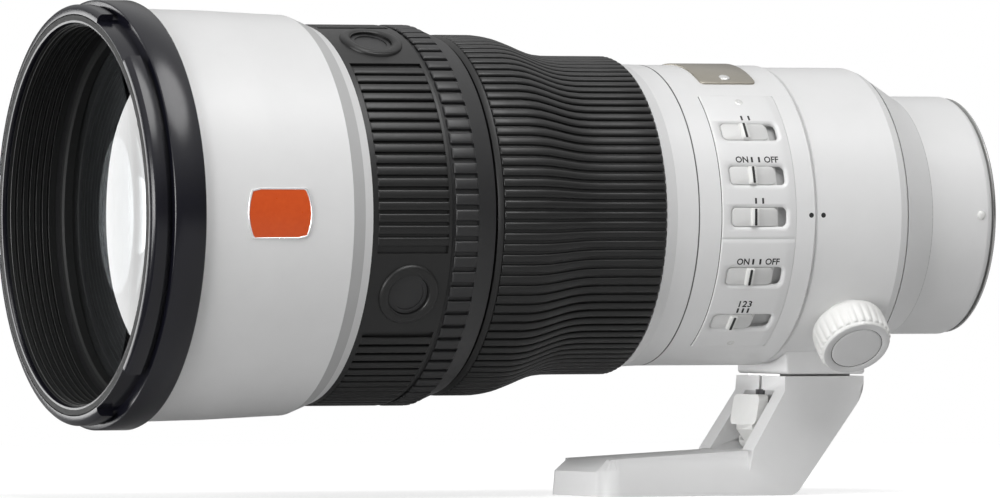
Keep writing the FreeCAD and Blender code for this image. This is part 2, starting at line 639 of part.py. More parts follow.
def toothed_prism(from_f, to_f, top, floor, ribs):
    """A solid with round tops and floors. ribs lists the start and end angle of each top."""
    edges = []
    for place, (start, end) in enumerate(ribs):
        following = ribs[(place + 1) % len(ribs)][0]
        if following < end:
            following += 360
        edges.append(Part.Arc(around(top, start, from_f), around(top, (start + end) / 2, from_f),
                              around(top, end, from_f)).toShape())
        edges.append(Part.makeLine(around(top, end, from_f), around(floor, end, from_f)))
        edges.append(Part.Arc(around(floor, end, from_f),
                              around(floor, (end + following) / 2, from_f),
                              around(floor, following, from_f)).toShape())
        edges.append(Part.makeLine(around(floor, following, from_f),
                                   around(top, following, from_f)))
    face = Part.Face(Part.Wire(edges))
    return face.extrude(FreeCAD.Vector(from_f - to_f, 0, 0))


def turned_solid(points):
    """A solid of revolution from numbers: distance ahead of the flange, radius."""
    corners = [FreeCAD.Vector(-place_f, 0, radius) for place_f, radius in points]
    face = Part.Face(Part.makePolygon(corners + [corners[0]]))
    return face.revolve(ORIGIN, AXIS, 360)


def feature_from(label, shape):
    item = doc.addObject("Part::Feature", label)
    item.Label = label
    item.Shape = shape
    item.Placement = FreeCAD.Placement()
    sub_parts.append(item)
    return item


RIB_HALF = 0.35


def button_angles():
    count = int(size("button_count"))
    return [size("button_first") + 360 / count * number for number in range(count)]


def radial_cylinder(radius, place_f, angle, from_r, to_r):
    foot = around(from_r, angle, place_f)
    return Part.makeCylinder(radius, to_r - from_r, foot, around(1, angle, 0))


# Rubber hold grip: ribs between smooth pads, each pad with a raised rim and a hole
def hold_grip():
    top = size("grip_r")
    floor = top - size("rib_depth")
    count = int(size("hold_ribs"))
    pitch = (360 / size("button_count") - size("pad_angle")) / count
    ribs = []
    for angle in button_angles():
        half = size("pad_angle") / 2
        ribs.append((angle - half, angle + half))
        for number in range(1, count):
            middle = angle + half + pitch * number
            ribs.append((middle - pitch * RIB_HALF, middle + pitch * RIB_HALF))
    front = size("barrel_end_f")
    rear = size("grip_rear_f")
    edge = size("rib_depth")
    ring = toothed_prism(front - 2 * edge, rear + edge, top, floor, ribs)
    bore = size("tube_a_r")
    for from_f, to_f, end_r in ((front, front - 2 * edge, top), (rear + edge, rear, top)):
        rim = turned_solid([(from_f, bore), (from_f, end_r), (to_f, end_r), (to_f, bore)])
        ring = ring.fuse(rim)
    place_f = size("button_f")
    for angle in button_angles():
        rim = radial_cylinder(size("button_rim_r"), place_f, angle, floor - 1,
                              top + size("button_rim"))
        ring = ring.fuse(rim)
    ring = ring.cut(Part.makeCylinder(bore, front - rear + 2, around(0, 0, front + 1), AXIS))
    for angle in button_angles():
        hole = radial_cylinder(size("button_r + button_gap"), place_f, angle, 0, 2 * top)
        ring = ring.cut(hole)
    feature_from("hold_grip", ring.removeSplitter())


# Hold buttons: a disc in the pad on a stem that is guided by the main tube
def hold_buttons():
    for number in range(int(size("button_count"))):
        body = new_body("hold_button_%d" % (number + 1))
        seat = "tube_a_r + button_press + fit"
        disc = circles(new_sketch(body, "disc", "XY_Plane", seat),
                       [("-button_f", "0")], "button_r")
        solid(body, "Pad", disc, "grip_r - button_rim - (%s)" % seat)
        stem = circles(new_sketch(body, "stem", "XY_Plane", "tube_a_r - tube_wall - bevel"),
                       [("-button_f", "0")], "rod_r")
        solid(body, "Pad", stem, "tube_wall + bevel + button_press + 2 * fit")
        dish = circles(new_sketch(body, "dish", "XY_Plane", "grip_r - button_rim - bevel / 2"),
                       [("-button_f", "0")], "button_r - 2 * bevel")
        solid(body, "Pocket", dish, reverse=True)
        turn(body, "button_first + %d * 360 / button_count" % number)


# Function ring with square teeth and a sloping rear
def function_ring():
    top = size("grip_r")
    floor = top - size("rib_depth")
    count = int(size("function_teeth"))
    pitch = 360 / count
    ribs = [(pitch * (number - RIB_HALF), pitch * (number + RIB_HALF)) for number in range(count)]
    front = size("function_front_f")
    slope = size("function_slope_f")
    rear = size("function_rear_f")
    edge = 2 * size("bevel")
    bore = size("tube_a_r") + size("fit")
    ring = toothed_prism(front - edge, slope, top, floor, ribs)
    ring = ring.fuse(turned_solid([
        (front, bore), (front, top - edge), (front - edge, top - edge / 2),
        (front - edge, bore)]))
    ring = ring.fuse(turned_solid([
        (slope, bore), (slope, top), (rear, size("function_end_r")), (rear, bore)]))
    ring = ring.cut(Part.makeCylinder(bore, front - rear + 2, around(0, 0, front + 1), AXIS))
    feature_from("function_ring", ring.removeSplitter())


# Taper of the focus ring: share of its ribbed length, and share of its fall in radius
FOCUS_TAPER = [(0, 0), (0.2, 0), (0.297, 0.125), (0.385, 0.42), (0.496, 0.828), (0.62, 1), (1, 1)]


def focus_profile():
    """Stations of the focus ring: distance ahead of the flange and radius of the rib tops."""
    front = size("focus_rib_f")
    long = front - size("focus_rear_f")
    big = size("focus_big_r")
    fall = big - size("focus_small_r")
    return [(front - long * along, big - fall * down) for along, down in FOCUS_TAPER]


# Focus ring: a rubber sleeve with ribs that follow its S-shaped taper
def focus_ring():
    count = int(size("focus_ribs"))
    depth = size("rib_depth")
    wall = 2 * depth
    pitch = 360 / count
    sections = []
    for place_f, top in focus_profile():
        corners = []
        for number in range(count):
            for share, radius in ((-RIB_HALF, top), (RIB_HALF, top),
                                  (RIB_HALF + 0.01, top - depth),
                                  (0.99 - RIB_HALF, top - depth)):
                corners.append(around(radius, pitch * (number + share), place_f))
        sections.append(Part.makePolygon(corners + [corners[0]]))
    ring = Part.makeLoft(sections, True, True)
    front = size("focus_front_f")
    big = size("focus_big_r")
    first = focus_profile()[0][0]
    bore = big - wall
    ring = ring.fuse(turned_solid([(front, bore), (front, big - depth), (first + depth, big),
                                   (first, big), (first, bore)]))
    inside = [(place_f, radius - wall) for place_f, radius in focus_profile()]
    inside[0] = (front + 1, inside[0][1])
    inside[-1] = (inside[-1][0] - 1, inside[-1][1])
    core = turned_solid([(front + 1, 0)] + inside + [(inside[-1][0], 0)])
    feature_from("focus_ring_grip", ring.cut(core))
    sleeve_wall = size("sleeve_wall")
    running = size("tube_b_r") + size("fit")
    outer = [(place_f, radius - wall) for place_f, radius in focus_profile()]
    outer[0] = (front, outer[0][1])
    shell = [(place_f + sleeve_wall / 2, max(running, radius - sleeve_wall))
             for place_f, radius in outer]
    shell[0] = (front, shell[0][1])
    shell[-1] = (outer[-1][0], running)
    sleeve = turned_solid(outer + list(reversed(shell)))
    land = front - size("bearing_long")
    rim = bore - sleeve_wall / 2
    bearing = turned_solid([(front, running), (front, rim), (land, rim), (land, running)])
    feature_from("focus_sleeve", sleeve.fuse(bearing).removeSplitter())


# White ring behind the focus ring and the barrel that carries the switches
def panel_barrel():
    revolved("white_ring", [
        ("tube_step2_f", "tube_c_r"),
        ("tube_step2_f", "ring_r"),
        ("ring_slope_f", "barrel_r + air"),
        ("ring_rear_f + bevel / 2", "barrel_r"),
        ("ring_rear_f", "barrel_r - bevel / 2"),
        ("ring_rear_f", "tube_c_r")])
    body = revolved("panel_barrel", [
        ("ring_rear_f", "tube_c_r"),
        ("ring_rear_f", "barrel_r - bevel / 2"),
        ("ring_rear_f - bevel / 2", "barrel_r"),
        ("collar_front_f + air + bevel", "barrel_r"),
        ("collar_front_f + air", "barrel_r - bevel"),
        ("collar_front_f + air", "tube_c_r")])
    sketch = new_sketch(body, "panel_seat", "XZ_Plane", angle=PANEL_CENTRE)
    rectangle(sketch, "-panel_front_f", "-panel_rear_f", "barrel_r - panel_sink", "barrel_r + 1")
    solid(body, "Groove", sketch, angle="panel_high_angle - panel_low_angle", both=True)
    for name, angle, travel, long in SWITCHES:
        half = "(%s + %s) / 2 + slide_end + air" % (long, travel)
        radial_cut(body, name + "_well", angle,
                   slotted("slot_f + " + half, "slot_f - (%s)" % half,
                           "slide_wide / 2 + slide_base + 2 * fit", "slide_base"),
                   "slide_floor - fit")
    for angle in PANEL_SCREW_ANGLES:
        radial_cut(body, "screw_hole", angle, drilled("slot_f", "shank_r"), "tube_c_r")


SWITCHES = [
    ("switch_slide_1", "33.4", "switch_travel", "slide_long"),
    ("switch_slide_2", "15.2", "switch_travel", "slide_long"),
    ("switch_slide_3", "-0.7", "switch_travel", "slide_long"),
    ("switch_slide_4", "-23.8", "switch_travel", "slide_long"),
    ("switch_slide_5", "-44.7", "mode_travel", "mode_long"),
]
PANEL_CENTRE = "(panel_high_angle + panel_low_angle) / 2"
PANEL_SCREW_ANGLES = ("panel_high_angle - 4.1", "panel_low_angle + 3.0")


# Curved switch panel with its slots, bead line and screw seats
def switch_panel():
    body = revolved("switch_panel", [
        ("panel_front_f", "barrel_r - panel_sink"),
        ("panel_front_f", "barrel_r + panel_rise - bevel / 2"),
        ("panel_front_f - bevel / 2", "barrel_r + panel_rise"),
        ("panel_rear_f + 2 * bevel", "barrel_r + panel_rise"),
        ("panel_rear_f", "barrel_r"),
        ("panel_rear_f", "barrel_r - panel_sink")],
        angle="panel_high_angle - panel_low_angle", centre=PANEL_CENTRE)
    sketch = new_sketch(body, "bead", "XZ_Plane", angle="bead_angle")
    rectangle(sketch, "-panel_front_f - 1", "-panel_rear_f + 1", "barrel_r + panel_rise / 2",
              "barrel_r + 2")
    solid(body, "Groove", sketch, angle="0.5", both=True)
    for name, angle, travel, long in SWITCHES:
        half = "(%s + %s) / 2 + 2 * fit" % (long, travel)
        wide = "(%s + %s) / 2 + bevel" % (long, travel)
        radial_cut(body, name + "_slot", angle,
                   slotted("slot_f + " + half, "slot_f - (%s)" % half, "slot_wide / 2",
                           "1.5 * bevel"), "slide_floor")
        radial_cut(body, name + "_rim", angle,
                   slotted("slot_f + " + wide, "slot_f - (%s)" % wide,
                           "slot_wide / 2 + bevel / 2", "2 * bevel"),
                   "barrel_r + panel_rise - bevel / 2")
    for angle in PANEL_SCREW_ANGLES:
        radial_cut(body, "screw_hole", angle, drilled("slot_f", "shank_r"), "tube_c_r")
        radial_cut(body, "screw_seat", angle, drilled("slot_f", "1.5 * shank_r"),
                   "barrel_r - panel_sink / 2")
    screws = []
    for angle in PANEL_SCREW_ANGLES:
        turned = size(angle)
        place_f = size("slot_f")
        deck = size("barrel_r - panel_sink / 2")
        shank = radial_cylinder(size("shank_r"), place_f, turned, size("tube_c_r"), deck)
        head = radial_cylinder(size("1.5 * shank_r"), place_f, turned, deck, size("barrel_r"))
        screws.append(shank.fuse(head))
    feature_from("panel_screws", Part.Compound(screws))


# Switch slides: a flat in the slot, a thumb rib, and a flange that the panel holds down
def switch_slides():
    for name, angle, travel, long in SWITCHES:
        body = new_body(name)
        middle = "(slot_f + %s / 2)" % travel
        flange = new_sketch(body, "flange", "XY_Plane", "slide_floor")
        rounded(flange, "-(%s + %s / 2 + slide_end)" % (middle, long),
                "-(%s - %s / 2 - slide_end)" % (middle, long),
                "-(slide_wide / 2 + slide_base)", "slide_wide / 2 + slide_base", "slide_base / 2")
        solid(body, "Pad", flange, "slide_base")
        flat = new_sketch(body, "flat", "XY_Plane", "slide_floor + slide_base / 2")
        rounded(flat, "-(%s + %s / 2)" % (middle, long), "-(%s - %s / 2)" % (middle, long),
                "-slide_wide / 2", "slide_wide / 2", "bevel")
        solid(body, "Pad", flat, "barrel_r + panel_rise - slide_sink - slide_floor - slide_base / 2")
        rib = new_sketch(body, "rib", "XY_Plane", "barrel_r + panel_rise - slide_sink - bevel")
        rectangle(rib, "-(%s + slide_rib / 2)" % middle, "-(%s - slide_rib / 2)" % middle,
                  "-slide_wide / 2 + fit", "slide_wide / 2 - fit")
        solid(body, "Pad", rib, "slide_rib_rise + bevel")
        turn(body, angle)


# Metal plate on top of the barrel, with its stud
def top_plate():
    plate = revolved("plate_skin", [
        ("plate_front_f", "barrel_r"),
        ("plate_front_f", "barrel_r + plate_thick - bevel / 3"),
        ("plate_front_f - bevel / 3", "barrel_r + plate_thick"),
        ("plate_rear_f + bevel / 3", "barrel_r + plate_thick"),
        ("plate_rear_f", "barrel_r + plate_thick - bevel / 3"),
        ("plate_rear_f", "barrel_r")], angle="plate_angle", centre="90")
    body = new_body("plate_stud")
    place = [("-(plate_front_f + plate_rear_f) / 2", "0")]
    stud = circles(new_sketch(body, "head", "XY_Plane", "barrel_r + plate_thick"), place, "shank_r * 2")
    solid(body, "Pad", stud, "plate_thick")
    turn(body, "90 - plate_angle / 2 + 4")
    grouped("top_plate", [plate, body])


# Tripod collar: ring, liners, base and rail
def tripod_collar():
    body = revolved("tripod_collar", [
        ("collar_front_f", "collar_r - collar_wall"),
        ("collar_front_f", "collar_r - bevel"),
        ("collar_front_f - bevel", "collar_r"),
        ("base_rear_f - 2 * bevel", "collar_r"),
        ("tube_end_f + bevel", "cone_r + bevel"),
        ("tube_end_f", "cone_r"),
        ("tube_end_f", "collar_r - collar_wall")])
    neck = new_sketch(body, "neck", "XY_Plane", "collar_r - collar_wall / 2", "knob_angle")
    circles(neck, [("-knob_f", "0")], "neck_r")
    solid(body, "Pad", neck, "knob_foot - air - collar_r + collar_wall / 2")
    well = new_sketch(body, "shoe_well", "XY_Plane", "tube_c_r - bevel", "knob_angle")
    circles(well, [("-knob_f", "0")], "shoe_r + 2 * fit")
    solid(body, "Pocket", well, "bevel + fit + shoe_thick + shoe_lift + air", reverse=True)
    radial_cut(body, "screw_way", "knob_angle", drilled("knob_f", "screw_r + fit"), "tube_c_r")
    liners = []
    for label, front in (("front_liner", "collar_front_f - 4 * bevel"),
                         ("rear_liner", "tube_end_f + 4 * bevel + liner_long")):
        liners.append(tube(label, front, front + " - liner_long", "collar_r - collar_wall",
                           "tube_c_r + fit"))
    grouped("collar_liners", liners)
    base = new_body("collar_base")
    half = "foot_wide / 2"
    side = "-sqrt(collar_r * collar_r - (%s) * (%s))" % (half, half)
    sketch = outline(new_sketch(base, "section", "YZ_Plane", "-base_front_f"), [
        ("-" + half, "-base_z"), (half, "-base_z"),
        (half, side, "-collar_r"), ("-" + half, side)])
    solid(base, "Pad", sketch, "base_front_f - base_rear_f")
    rail = new_body("foot_rail")
    sketch = outline(new_sketch(rail, "section", "YZ_Plane", "-rail_front_f"), [
        ("-rail_half", "-base_z"),
        ("-rail_half", "-foot_top_z"),
        ("-rail_half - rail_flare", "-foot_top_z - rail_deep"),
        ("rail_half + rail_flare", "-foot_top_z - rail_deep"),
        ("rail_half", "-foot_top_z"),
        ("rail_half", "-base_z")])
    solid(rail, "Pad", sketch, "rail_front_f - base_rear_f")


# Lock knob with flutes, its cap, screw and brake shoe
def lock_knob():
    body = new_body("lock_knob")
    place = [("-knob_f", "0")]
    disc = circles(new_sketch(body, "disc", "XY_Plane", "knob_foot"), place, "knob_r")
    pad = solid(body, "Pad", disc, "knob_top - knob_foot")
    doc.recompute()
    soften(body, pad, lambda edge: edge.Curve.TypeId == "Part::GeomCircle", "bevel", "Chamfer")
    flute = circles(new_sketch(body, "flute", "XY_Plane", "knob_foot"),
                    [("-knob_f + knob_r + flute_r / 3", "0")], "flute_r")
    cut = solid(body, "Pocket", flute, reverse=True)
    doc.recompute()
    axis_sketch = new_sketch(body, "turning", "XY_Plane", "knob_foot")
    axis_sketch.setExpression("AttachmentOffset.Base.x", bound("-knob_f"))
    repeat(body, cut, "knob_flutes", axis_sketch)
    line = new_sketch(body, "face_line", "XY_Plane", "knob_top - bevel")
    circles(line, place, "knob_r * 0.68")
    circles(line, place, "knob_r * 0.68 - bevel")
    solid(body, "Pocket", line, reverse=True)
    screw = circles(new_sketch(body, "screw", "XY_Plane", "tube_c_r + 1"), place, "screw_r")
    solid(body, "Pad", screw, "knob_foot - tube_c_r")
    turn(body, "knob_angle")
    shoe = new_body("brake_shoe")
    disc = circles(new_sketch(shoe, "disc", "XY_Plane", "tube_c_r + fit"), place, "shoe_r")
    solid(shoe, "Pad", disc, "shoe_thick")
    bore = circles(new_sketch(shoe, "bore", "XY_Plane", "tube_c_r"), place, "screw_r + fit")
    solid(shoe, "Pocket", bore, reverse=True)
    turn(shoe, "knob_angle")


def soften(body, feature, test, radius, kind="Fillet"):
    """Rounds or bevels each edge of the feature that passes the test."""
    names = ["Edge%d" % (number + 1) for number, edge in enumerate(feature.Shape.Edges)
             if test(edge)]
    finish = body.newObject("PartDesign::" + kind, feature.Label + "_" + kind.lower())
    finish.Base = (feature, names)
    finish.setExpression("Radius" if kind == "Fillet" else "Size", bound(radius))
    doc.recompute()
    return finish


def near(x=None, y=None, z=None):
    """Tests whether the middle of an edge lies at the coordinates that are given."""
    wanted = [None if text is None else size(text) for text in (x, y, z)]

    def test(edge):
        middle = edge.valueAt((edge.FirstParameter + edge.LastParameter) / 2)
        pairs = zip(wanted, (middle.x, middle.y, middle.z))
        return all(want is None or abs(want - got) < 0.01 for want, got in pairs)
    return test


# Foot: sole plate with a bevel all round, stem with a lever bay, clamp for the rail
def foot():
    body = new_body("foot")
    half = "foot_wide / 2"
    plan = new_sketch(body, "sole", "XY_Plane", "-foot_z")
    corner = "plate_corner"
    outline(plan, [
        ("-plate_end_f", half), ("-plate_tip_f + " + corner, half, corner),
        ("-plate_tip_f", half + " - " + corner), ("-plate_tip_f", "-%s + %s" % (half, corner), corner),
        ("-plate_tip_f + " + corner, "-" + half), ("-plate_end_f", "-" + half)])
    solid(body, "Pad", plan, "plate_side")
    upper = new_sketch(body, "sole_bevel", "XY_Plane", "-foot_z + plate_side")
    outline(upper, [
        ("-plate_end_f", half), ("-plate_tip_f + " + corner, half, corner),
        ("-plate_tip_f", half + " - " + corner), ("-plate_tip_f", "-%s + %s" % (half, corner), corner),
        ("-plate_tip_f + " + corner, "-" + half), ("-plate_end_f", "-" + half)])
    solid(body, "Pad", upper, "plate_bevel", taper=-45)
    stem = outline(new_sketch(body, "stem", "XZ_Plane"), ahead([
        ("stem_front_f", "-foot_top_z"),
        ("stem_front_f", "-stem_break_z"),
        ("stem_low_f", "-stem_low_z"),
        ("stem_low_f + 2 * bevel", "-foot_z + plate_side"),
        ("stem_low_f + 2 * bevel", "-foot_z"),
        ("plate_end_f", "-foot_z"),
        ("base_rear_f", "-stem_back_z"),
        ("base_rear_f", "-foot_top_z")]))
    block = solid(body, "Pad", stem, "foot_wide", both=True)
    doc.recompute()
    wedge = outline(new_sketch(body, "wedge", "XZ_Plane"), ahead([
        ("plate_tip_f - plate_bevel", "-foot_z + plate_side + plate_bevel"),
        ("stem_low_f - 2 * bevel", "-stem_low_z - air"),
        ("stem_low_f - 2 * bevel", "-foot_z + plate_side"),
        ("plate_tip_f - plate_bevel", "-foot_z + plate_side")]))
    block = solid(body, "Pad", wedge, "foot_wide - 2 * plate_bevel", both=True)
    doc.recompute()
    block = soften(body, block, near("-plate_end_f", "0", "-foot_z"), "plate_bevel + bevel")
    block = soften(body, block, near("-base_rear_f", "0", "-stem_back_z"), "2 * plate_corner")
    bay = outline(new_sketch(body, "lever_bay", "XZ_Plane"), ahead([
        ("stem_low_f + plate_side", "-stem_break_z"),
        ("lever_front_f - lever_lean - lever_thick - air", "-stem_break_z"),
        ("lever_front_f - lever_lean - lever_thick - air", "-lever_top_z - lens_ledge"),
        ("pivot_f - hub_r - lens_ledge", "-lever_top_z - lens_ledge"),
        ("pivot_f - hub_r - lens_ledge", "-pivot_z - hub_r"),
        ("pivot_f", "-stem_low_z - air"),
        ("stem_low_f + plate_side", "-stem_low_z - air")]))
    solid(body, "Pocket", bay, "foot_wide - 2 * cheek", both=True)
    channel = outline(new_sketch(body, "rail_channel", "YZ_Plane", "-rail_front_f - air"), [
        ("-rail_half - fit", "-foot_top_z + 1"),
        ("-rail_half - fit", "-foot_top_z"),
        ("-rail_half - rail_flare - fit", "-foot_top_z - rail_deep - fit"),
        ("rail_half + rail_flare + fit", "-foot_top_z - rail_deep - fit"),
        ("rail_half + fit", "-foot_top_z"),
        ("rail_half + fit", "-foot_top_z + 1")])
    solid(body, "Pocket", channel, "rail_front_f", reverse=True)
    slit = rectangle(new_sketch(body, "slit", "XY_Plane", "-foot_top_z"),
                     "-stem_front_f - 1", "-rail_front_f", "-slit / 2", "slit / 2")
    solid(body, "Pocket", slit, "stem_break_z - foot_top_z")
    way = circles(new_sketch(body, "plunger_way", "XY_Plane", "-foot_top_z - rail_deep"),
                  [("-pivot_f + plunger_x", "0")], "plunger_r + fit")
    solid(body, "Pocket", way, "lever_top_z + lens_ledge + bevel - foot_top_z - rail_deep")
    pin = circles(new_sketch(body, "pin_hole", "XZ_Plane"),
                  [("-pivot_f", "-pivot_z")], "pin_r")
    solid(body, "Pocket", pin, "foot_wide - cheek", both=True)
    inserts = []
    for place_f, name, radius in SOCKETS:
        hole = circles(new_sketch(body, name + "_seat", "XY_Plane", "-foot_z"),
                       [("-(%s)" % place_f, "0")], "%s + socket_wall" % radius)
        solid(body, "Pocket", hole, "socket_deep", reverse=True)
        insert = new_body(name)
        outer = circles(new_sketch(insert, "outside", "XY_Plane", "-foot_z"),
                        [("-(%s)" % place_f, "0")], "%s + socket_wall" % radius)
        solid(insert, "Pad", outer, "socket_deep")
        bore = circles(new_sketch(insert, "bore", "XY_Plane", "-foot_z"),
                       [("-(%s)" % place_f, "0")], radius)
        solid(insert, "Pocket", bore, reverse=True)
        inserts.append(insert)
    grouped("foot_sockets", inserts)


SOCKETS = [("socket_f", "large_socket", "socket_big_r"),
           ("socket_f + socket_gap", "small_socket", "socket_small_r")]


# Lock lever in the stem: pad, neck and hub with a cam nose, its pin, and the clamp plunger
def foot_lock():
    lever = new_body("foot_lock_lever")
    pad = outline(new_sketch(lever, "pad", "XZ_Plane"), ahead([
        ("lever_front_f - lever_lean", "-lever_top_z"),
        ("lever_front_f", "-lever_low_z"),
        ("lever_front_f - lever_thick", "-lever_low_z"),
        ("lever_front_f - lever_lean - lever_thick", "-lever_top_z")]))
    block = solid(lever, "Pad", pad, "lever_wide", both=True)
    doc.recompute()
    soften(lever, block, lambda edge: abs(edge.Length - size("lever_thick")) < 0.01, "lens_ledge")
    neck = outline(new_sketch(lever, "neck", "XZ_Plane"), ahead([
        ("lever_front_f - bevel", "-lever_low_z + lever_thick / 2"),
        ("lever_front_f - bevel", "-lever_low_z - lever_thick / 2"),
        ("pivot_f + hub_r / 2", "-pivot_z - hub_r * 0.8"),
        ("pivot_f", "-pivot_z"),
        ("lever_front_f - lever_thick", "-lever_low_z - lever_thick / 3"),
        ("lever_front_f - lever_thick", "-lever_low_z + lever_thick / 2")]))
    solid(lever, "Pad", neck, "lever_wide * 0.6", both=True)
    hub = circles(new_sketch(lever, "hub", "XZ_Plane"), [("-pivot_f", "-pivot_z")], "hub_r")
    solid(lever, "Pad", hub, "lever_wide", both=True)
    nose = outline(new_sketch(lever, "cam_nose", "XZ_Plane"), [
        ("-pivot_f - cam_wide", "-pivot_z + hub_r / 2"),
        ("-pivot_f", "-pivot_z + hub_r / 2"),
        ("-pivot_f", "-pivot_z + hub_r + cam_rise"),
        ("-pivot_f - cam_wide", "-pivot_z + hub_r + cam_rise")])
    solid(lever, "Pad", nose, "plunger_r * 2", both=True)
    bore = circles(new_sketch(lever, "bore", "XZ_Plane"), [("-pivot_f", "-pivot_z")], "pin_r + fit")
    solid(lever, "Pocket", bore, "foot_wide", both=True)
    pin = new_body("foot_lock_pin")
    rod = circles(new_sketch(pin, "rod", "XZ_Plane"), [("-pivot_f", "-pivot_z")], "pin_r")
    solid(pin, "Pad", rod, "foot_wide - cheek", both=True)
    plunger = new_body("clamp_plunger")
    rod = circles(new_sketch(plunger, "rod", "XY_Plane", "-pivot_z + hub_r + cam_rise + fit"),
                  [("-pivot_f + plunger_x", "0")], "plunger_r")
    solid(plunger, "Pad", rod, "pivot_z - hub_r - cam_rise - 2 * fit - foot_top_z - rail_deep")


# Rear barrel with the opening for the filter holder
def rear_barrel():
    body = revolved("rear_barrel", [
        ("tube_end_f - air", "cone_r"),
        ("rear_cone_f", "rear_r"),
        ("flange_thick + bevel", "rear_r", "-(flange_thick + bevel)"),
        ("flange_thick / 3", "rear_r - flange_thick + bevel"),
        ("flange_thick / 3", "flange_r + gasket_wide + 2 * fit"),
        ("flange_thick * 0.7", "flange_r + gasket_wide + 2 * fit"),
        ("flange_thick * 0.7", "flange_r + fit"),
        ("flange_thick", "flange_r + fit"),
        ("flange_thick", "mount_screw_r - 2 * shank_r"),
        ("flange_thick + rear_wall", "mount_screw_r - 2 * shank_r"),
        ("flange_thick + rear_wall", "rear_r - rear_wall"),
        ("rear_cone_f", "rear_r - rear_wall"),
        ("tube_end_f - rear_wall - 2 * bevel", "rear_r + rear_wall / 2"),
        ("tube_end_f", "rear_r + rear_wall / 2"),
        ("tube_end_f", "tube_c_r"),
        ("tube_end_f - air", "tube_c_r")])
    radial_cut(body, "filter_way", "filter_angle",
               lambda sketch: rectangle(sketch, "-filter_front_f - fit", "-filter_rear_f + fit",
                                        "-filter_r - 2 * fit", "filter_r + 2 * fit"))
    holes = circles(new_sketch(body, "screw_holes", "YZ_Plane"), screw_places(), "shank_r + fit")
    solid(body, "Pocket", holes, "flange_thick + rear_wall + bevel")


def screw_places():
    count = int(size("mount_screws"))
    places = []
    for number in range(count):
        angle = "(45 + %d * 360 / mount_screws)" % number
        places.append(("mount_screw_r * cos(%s)" % angle, "mount_screw_r * sin(%s)" % angle))
    return places


# Camera mount: flange with bayonet tabs, screws, gasket, rear baffle and contacts
def camera_mount():
    body = revolved("mount_flange", [
        ("flange_thick", "throat_r"),
        ("flange_thick", "flange_r"),
        ("0", "flange_r"),
        ("0", "tab_relief"),
        ("bevel / 2", "tab_relief"),
        ("bevel / 2", "collar_mount_r"),
        ("-tab_end", "collar_mount_r"),
        ("-tab_end", "throat_r")])
    sketch = new_sketch(body, "tab", "XZ_Plane", angle="90")
    rectangle(sketch, "tab_front", "tab_end", "collar_mount_r - bevel", "tab_r")
    tab = solid(body, "Revolution", sketch, angle="tab_angle", both=True)
    doc.recompute()
    repeat(body, tab, "tab_count", sketch, "H_Axis")
    heads = circles(new_sketch(body, "head_seats", "YZ_Plane"), screw_places(), "head_r + 2 * fit")
    solid(body, "Pocket", heads, "head_thick + fit")
    holes = circles(new_sketch(body, "screw_holes", "YZ_Plane"), screw_places(), "shank_r + fit")
    solid(body, "Pocket", holes, "flange_thick + bevel")
    screws = []
    for across, up in screw_places():
        face = FreeCAD.Vector(-size("fit"), size(across), size(up))
        head = Part.makeCylinder(size("head_r"), size("head_thick"), face, -AXIS)
        shank = Part.makeCylinder(size("shank_r"), size("flange_thick + rear_wall"), face, -AXIS)
        screws.append(head.fuse(shank))
    feature_from("mount_screws", Part.Compound(screws))
    tube("dust_gasket", "flange_thick * 0.7", "-gasket_rise", "flange_r + gasket_wide",
         "flange_r + fit")
    revolved("rear_baffle", [
        ("flange_thick + rear_wall + bevel", "baffle_hole_r"),
        ("flange_thick + rear_wall + bevel", "mount_screw_r - 2 * shank_r - fit"),
        ("flange_thick + rear_wall - bevel", "mount_screw_r - 2 * shank_r - fit"),
        ("flange_thick + rear_wall - bevel", "throat_r - fit"),
        ("bevel", "throat_r - fit"),
        ("bevel", "throat_r - 2 * bevel"),
        ("flange_thick + rear_wall - bevel", "throat_r - 2 * bevel"),
        ("flange_thick + rear_wall - bevel", "baffle_hole_r")])
    block = "throat_r - 2 * bevel - fit"
    carrier = revolved("contact_carrier", [
        ("flange_thick + rear_wall - bevel", "throat_r - contact_deep"),
        ("flange_thick + rear_wall - bevel", block),
        ("-flange_thick", block),
        ("-flange_thick", "throat_r - contact_deep")],
        angle="contact_angle * (contact_count + 1)", centre="-90")
    pins = []
    count = int(size("contact_count"))
    for number in range(count):
        angle = -90 + size("contact_angle") * (number - (count - 1) / 2)
        foot = around(size("throat_r - contact_deep / 2 - bevel"), angle, -size("flange_thick"))
        pins.append(Part.makeCylinder(size("contact_r"), size("bevel"), foot, AXIS))
    grouped("contact_block", [carrier, feature_from("contact_pins", Part.Compound(pins))])


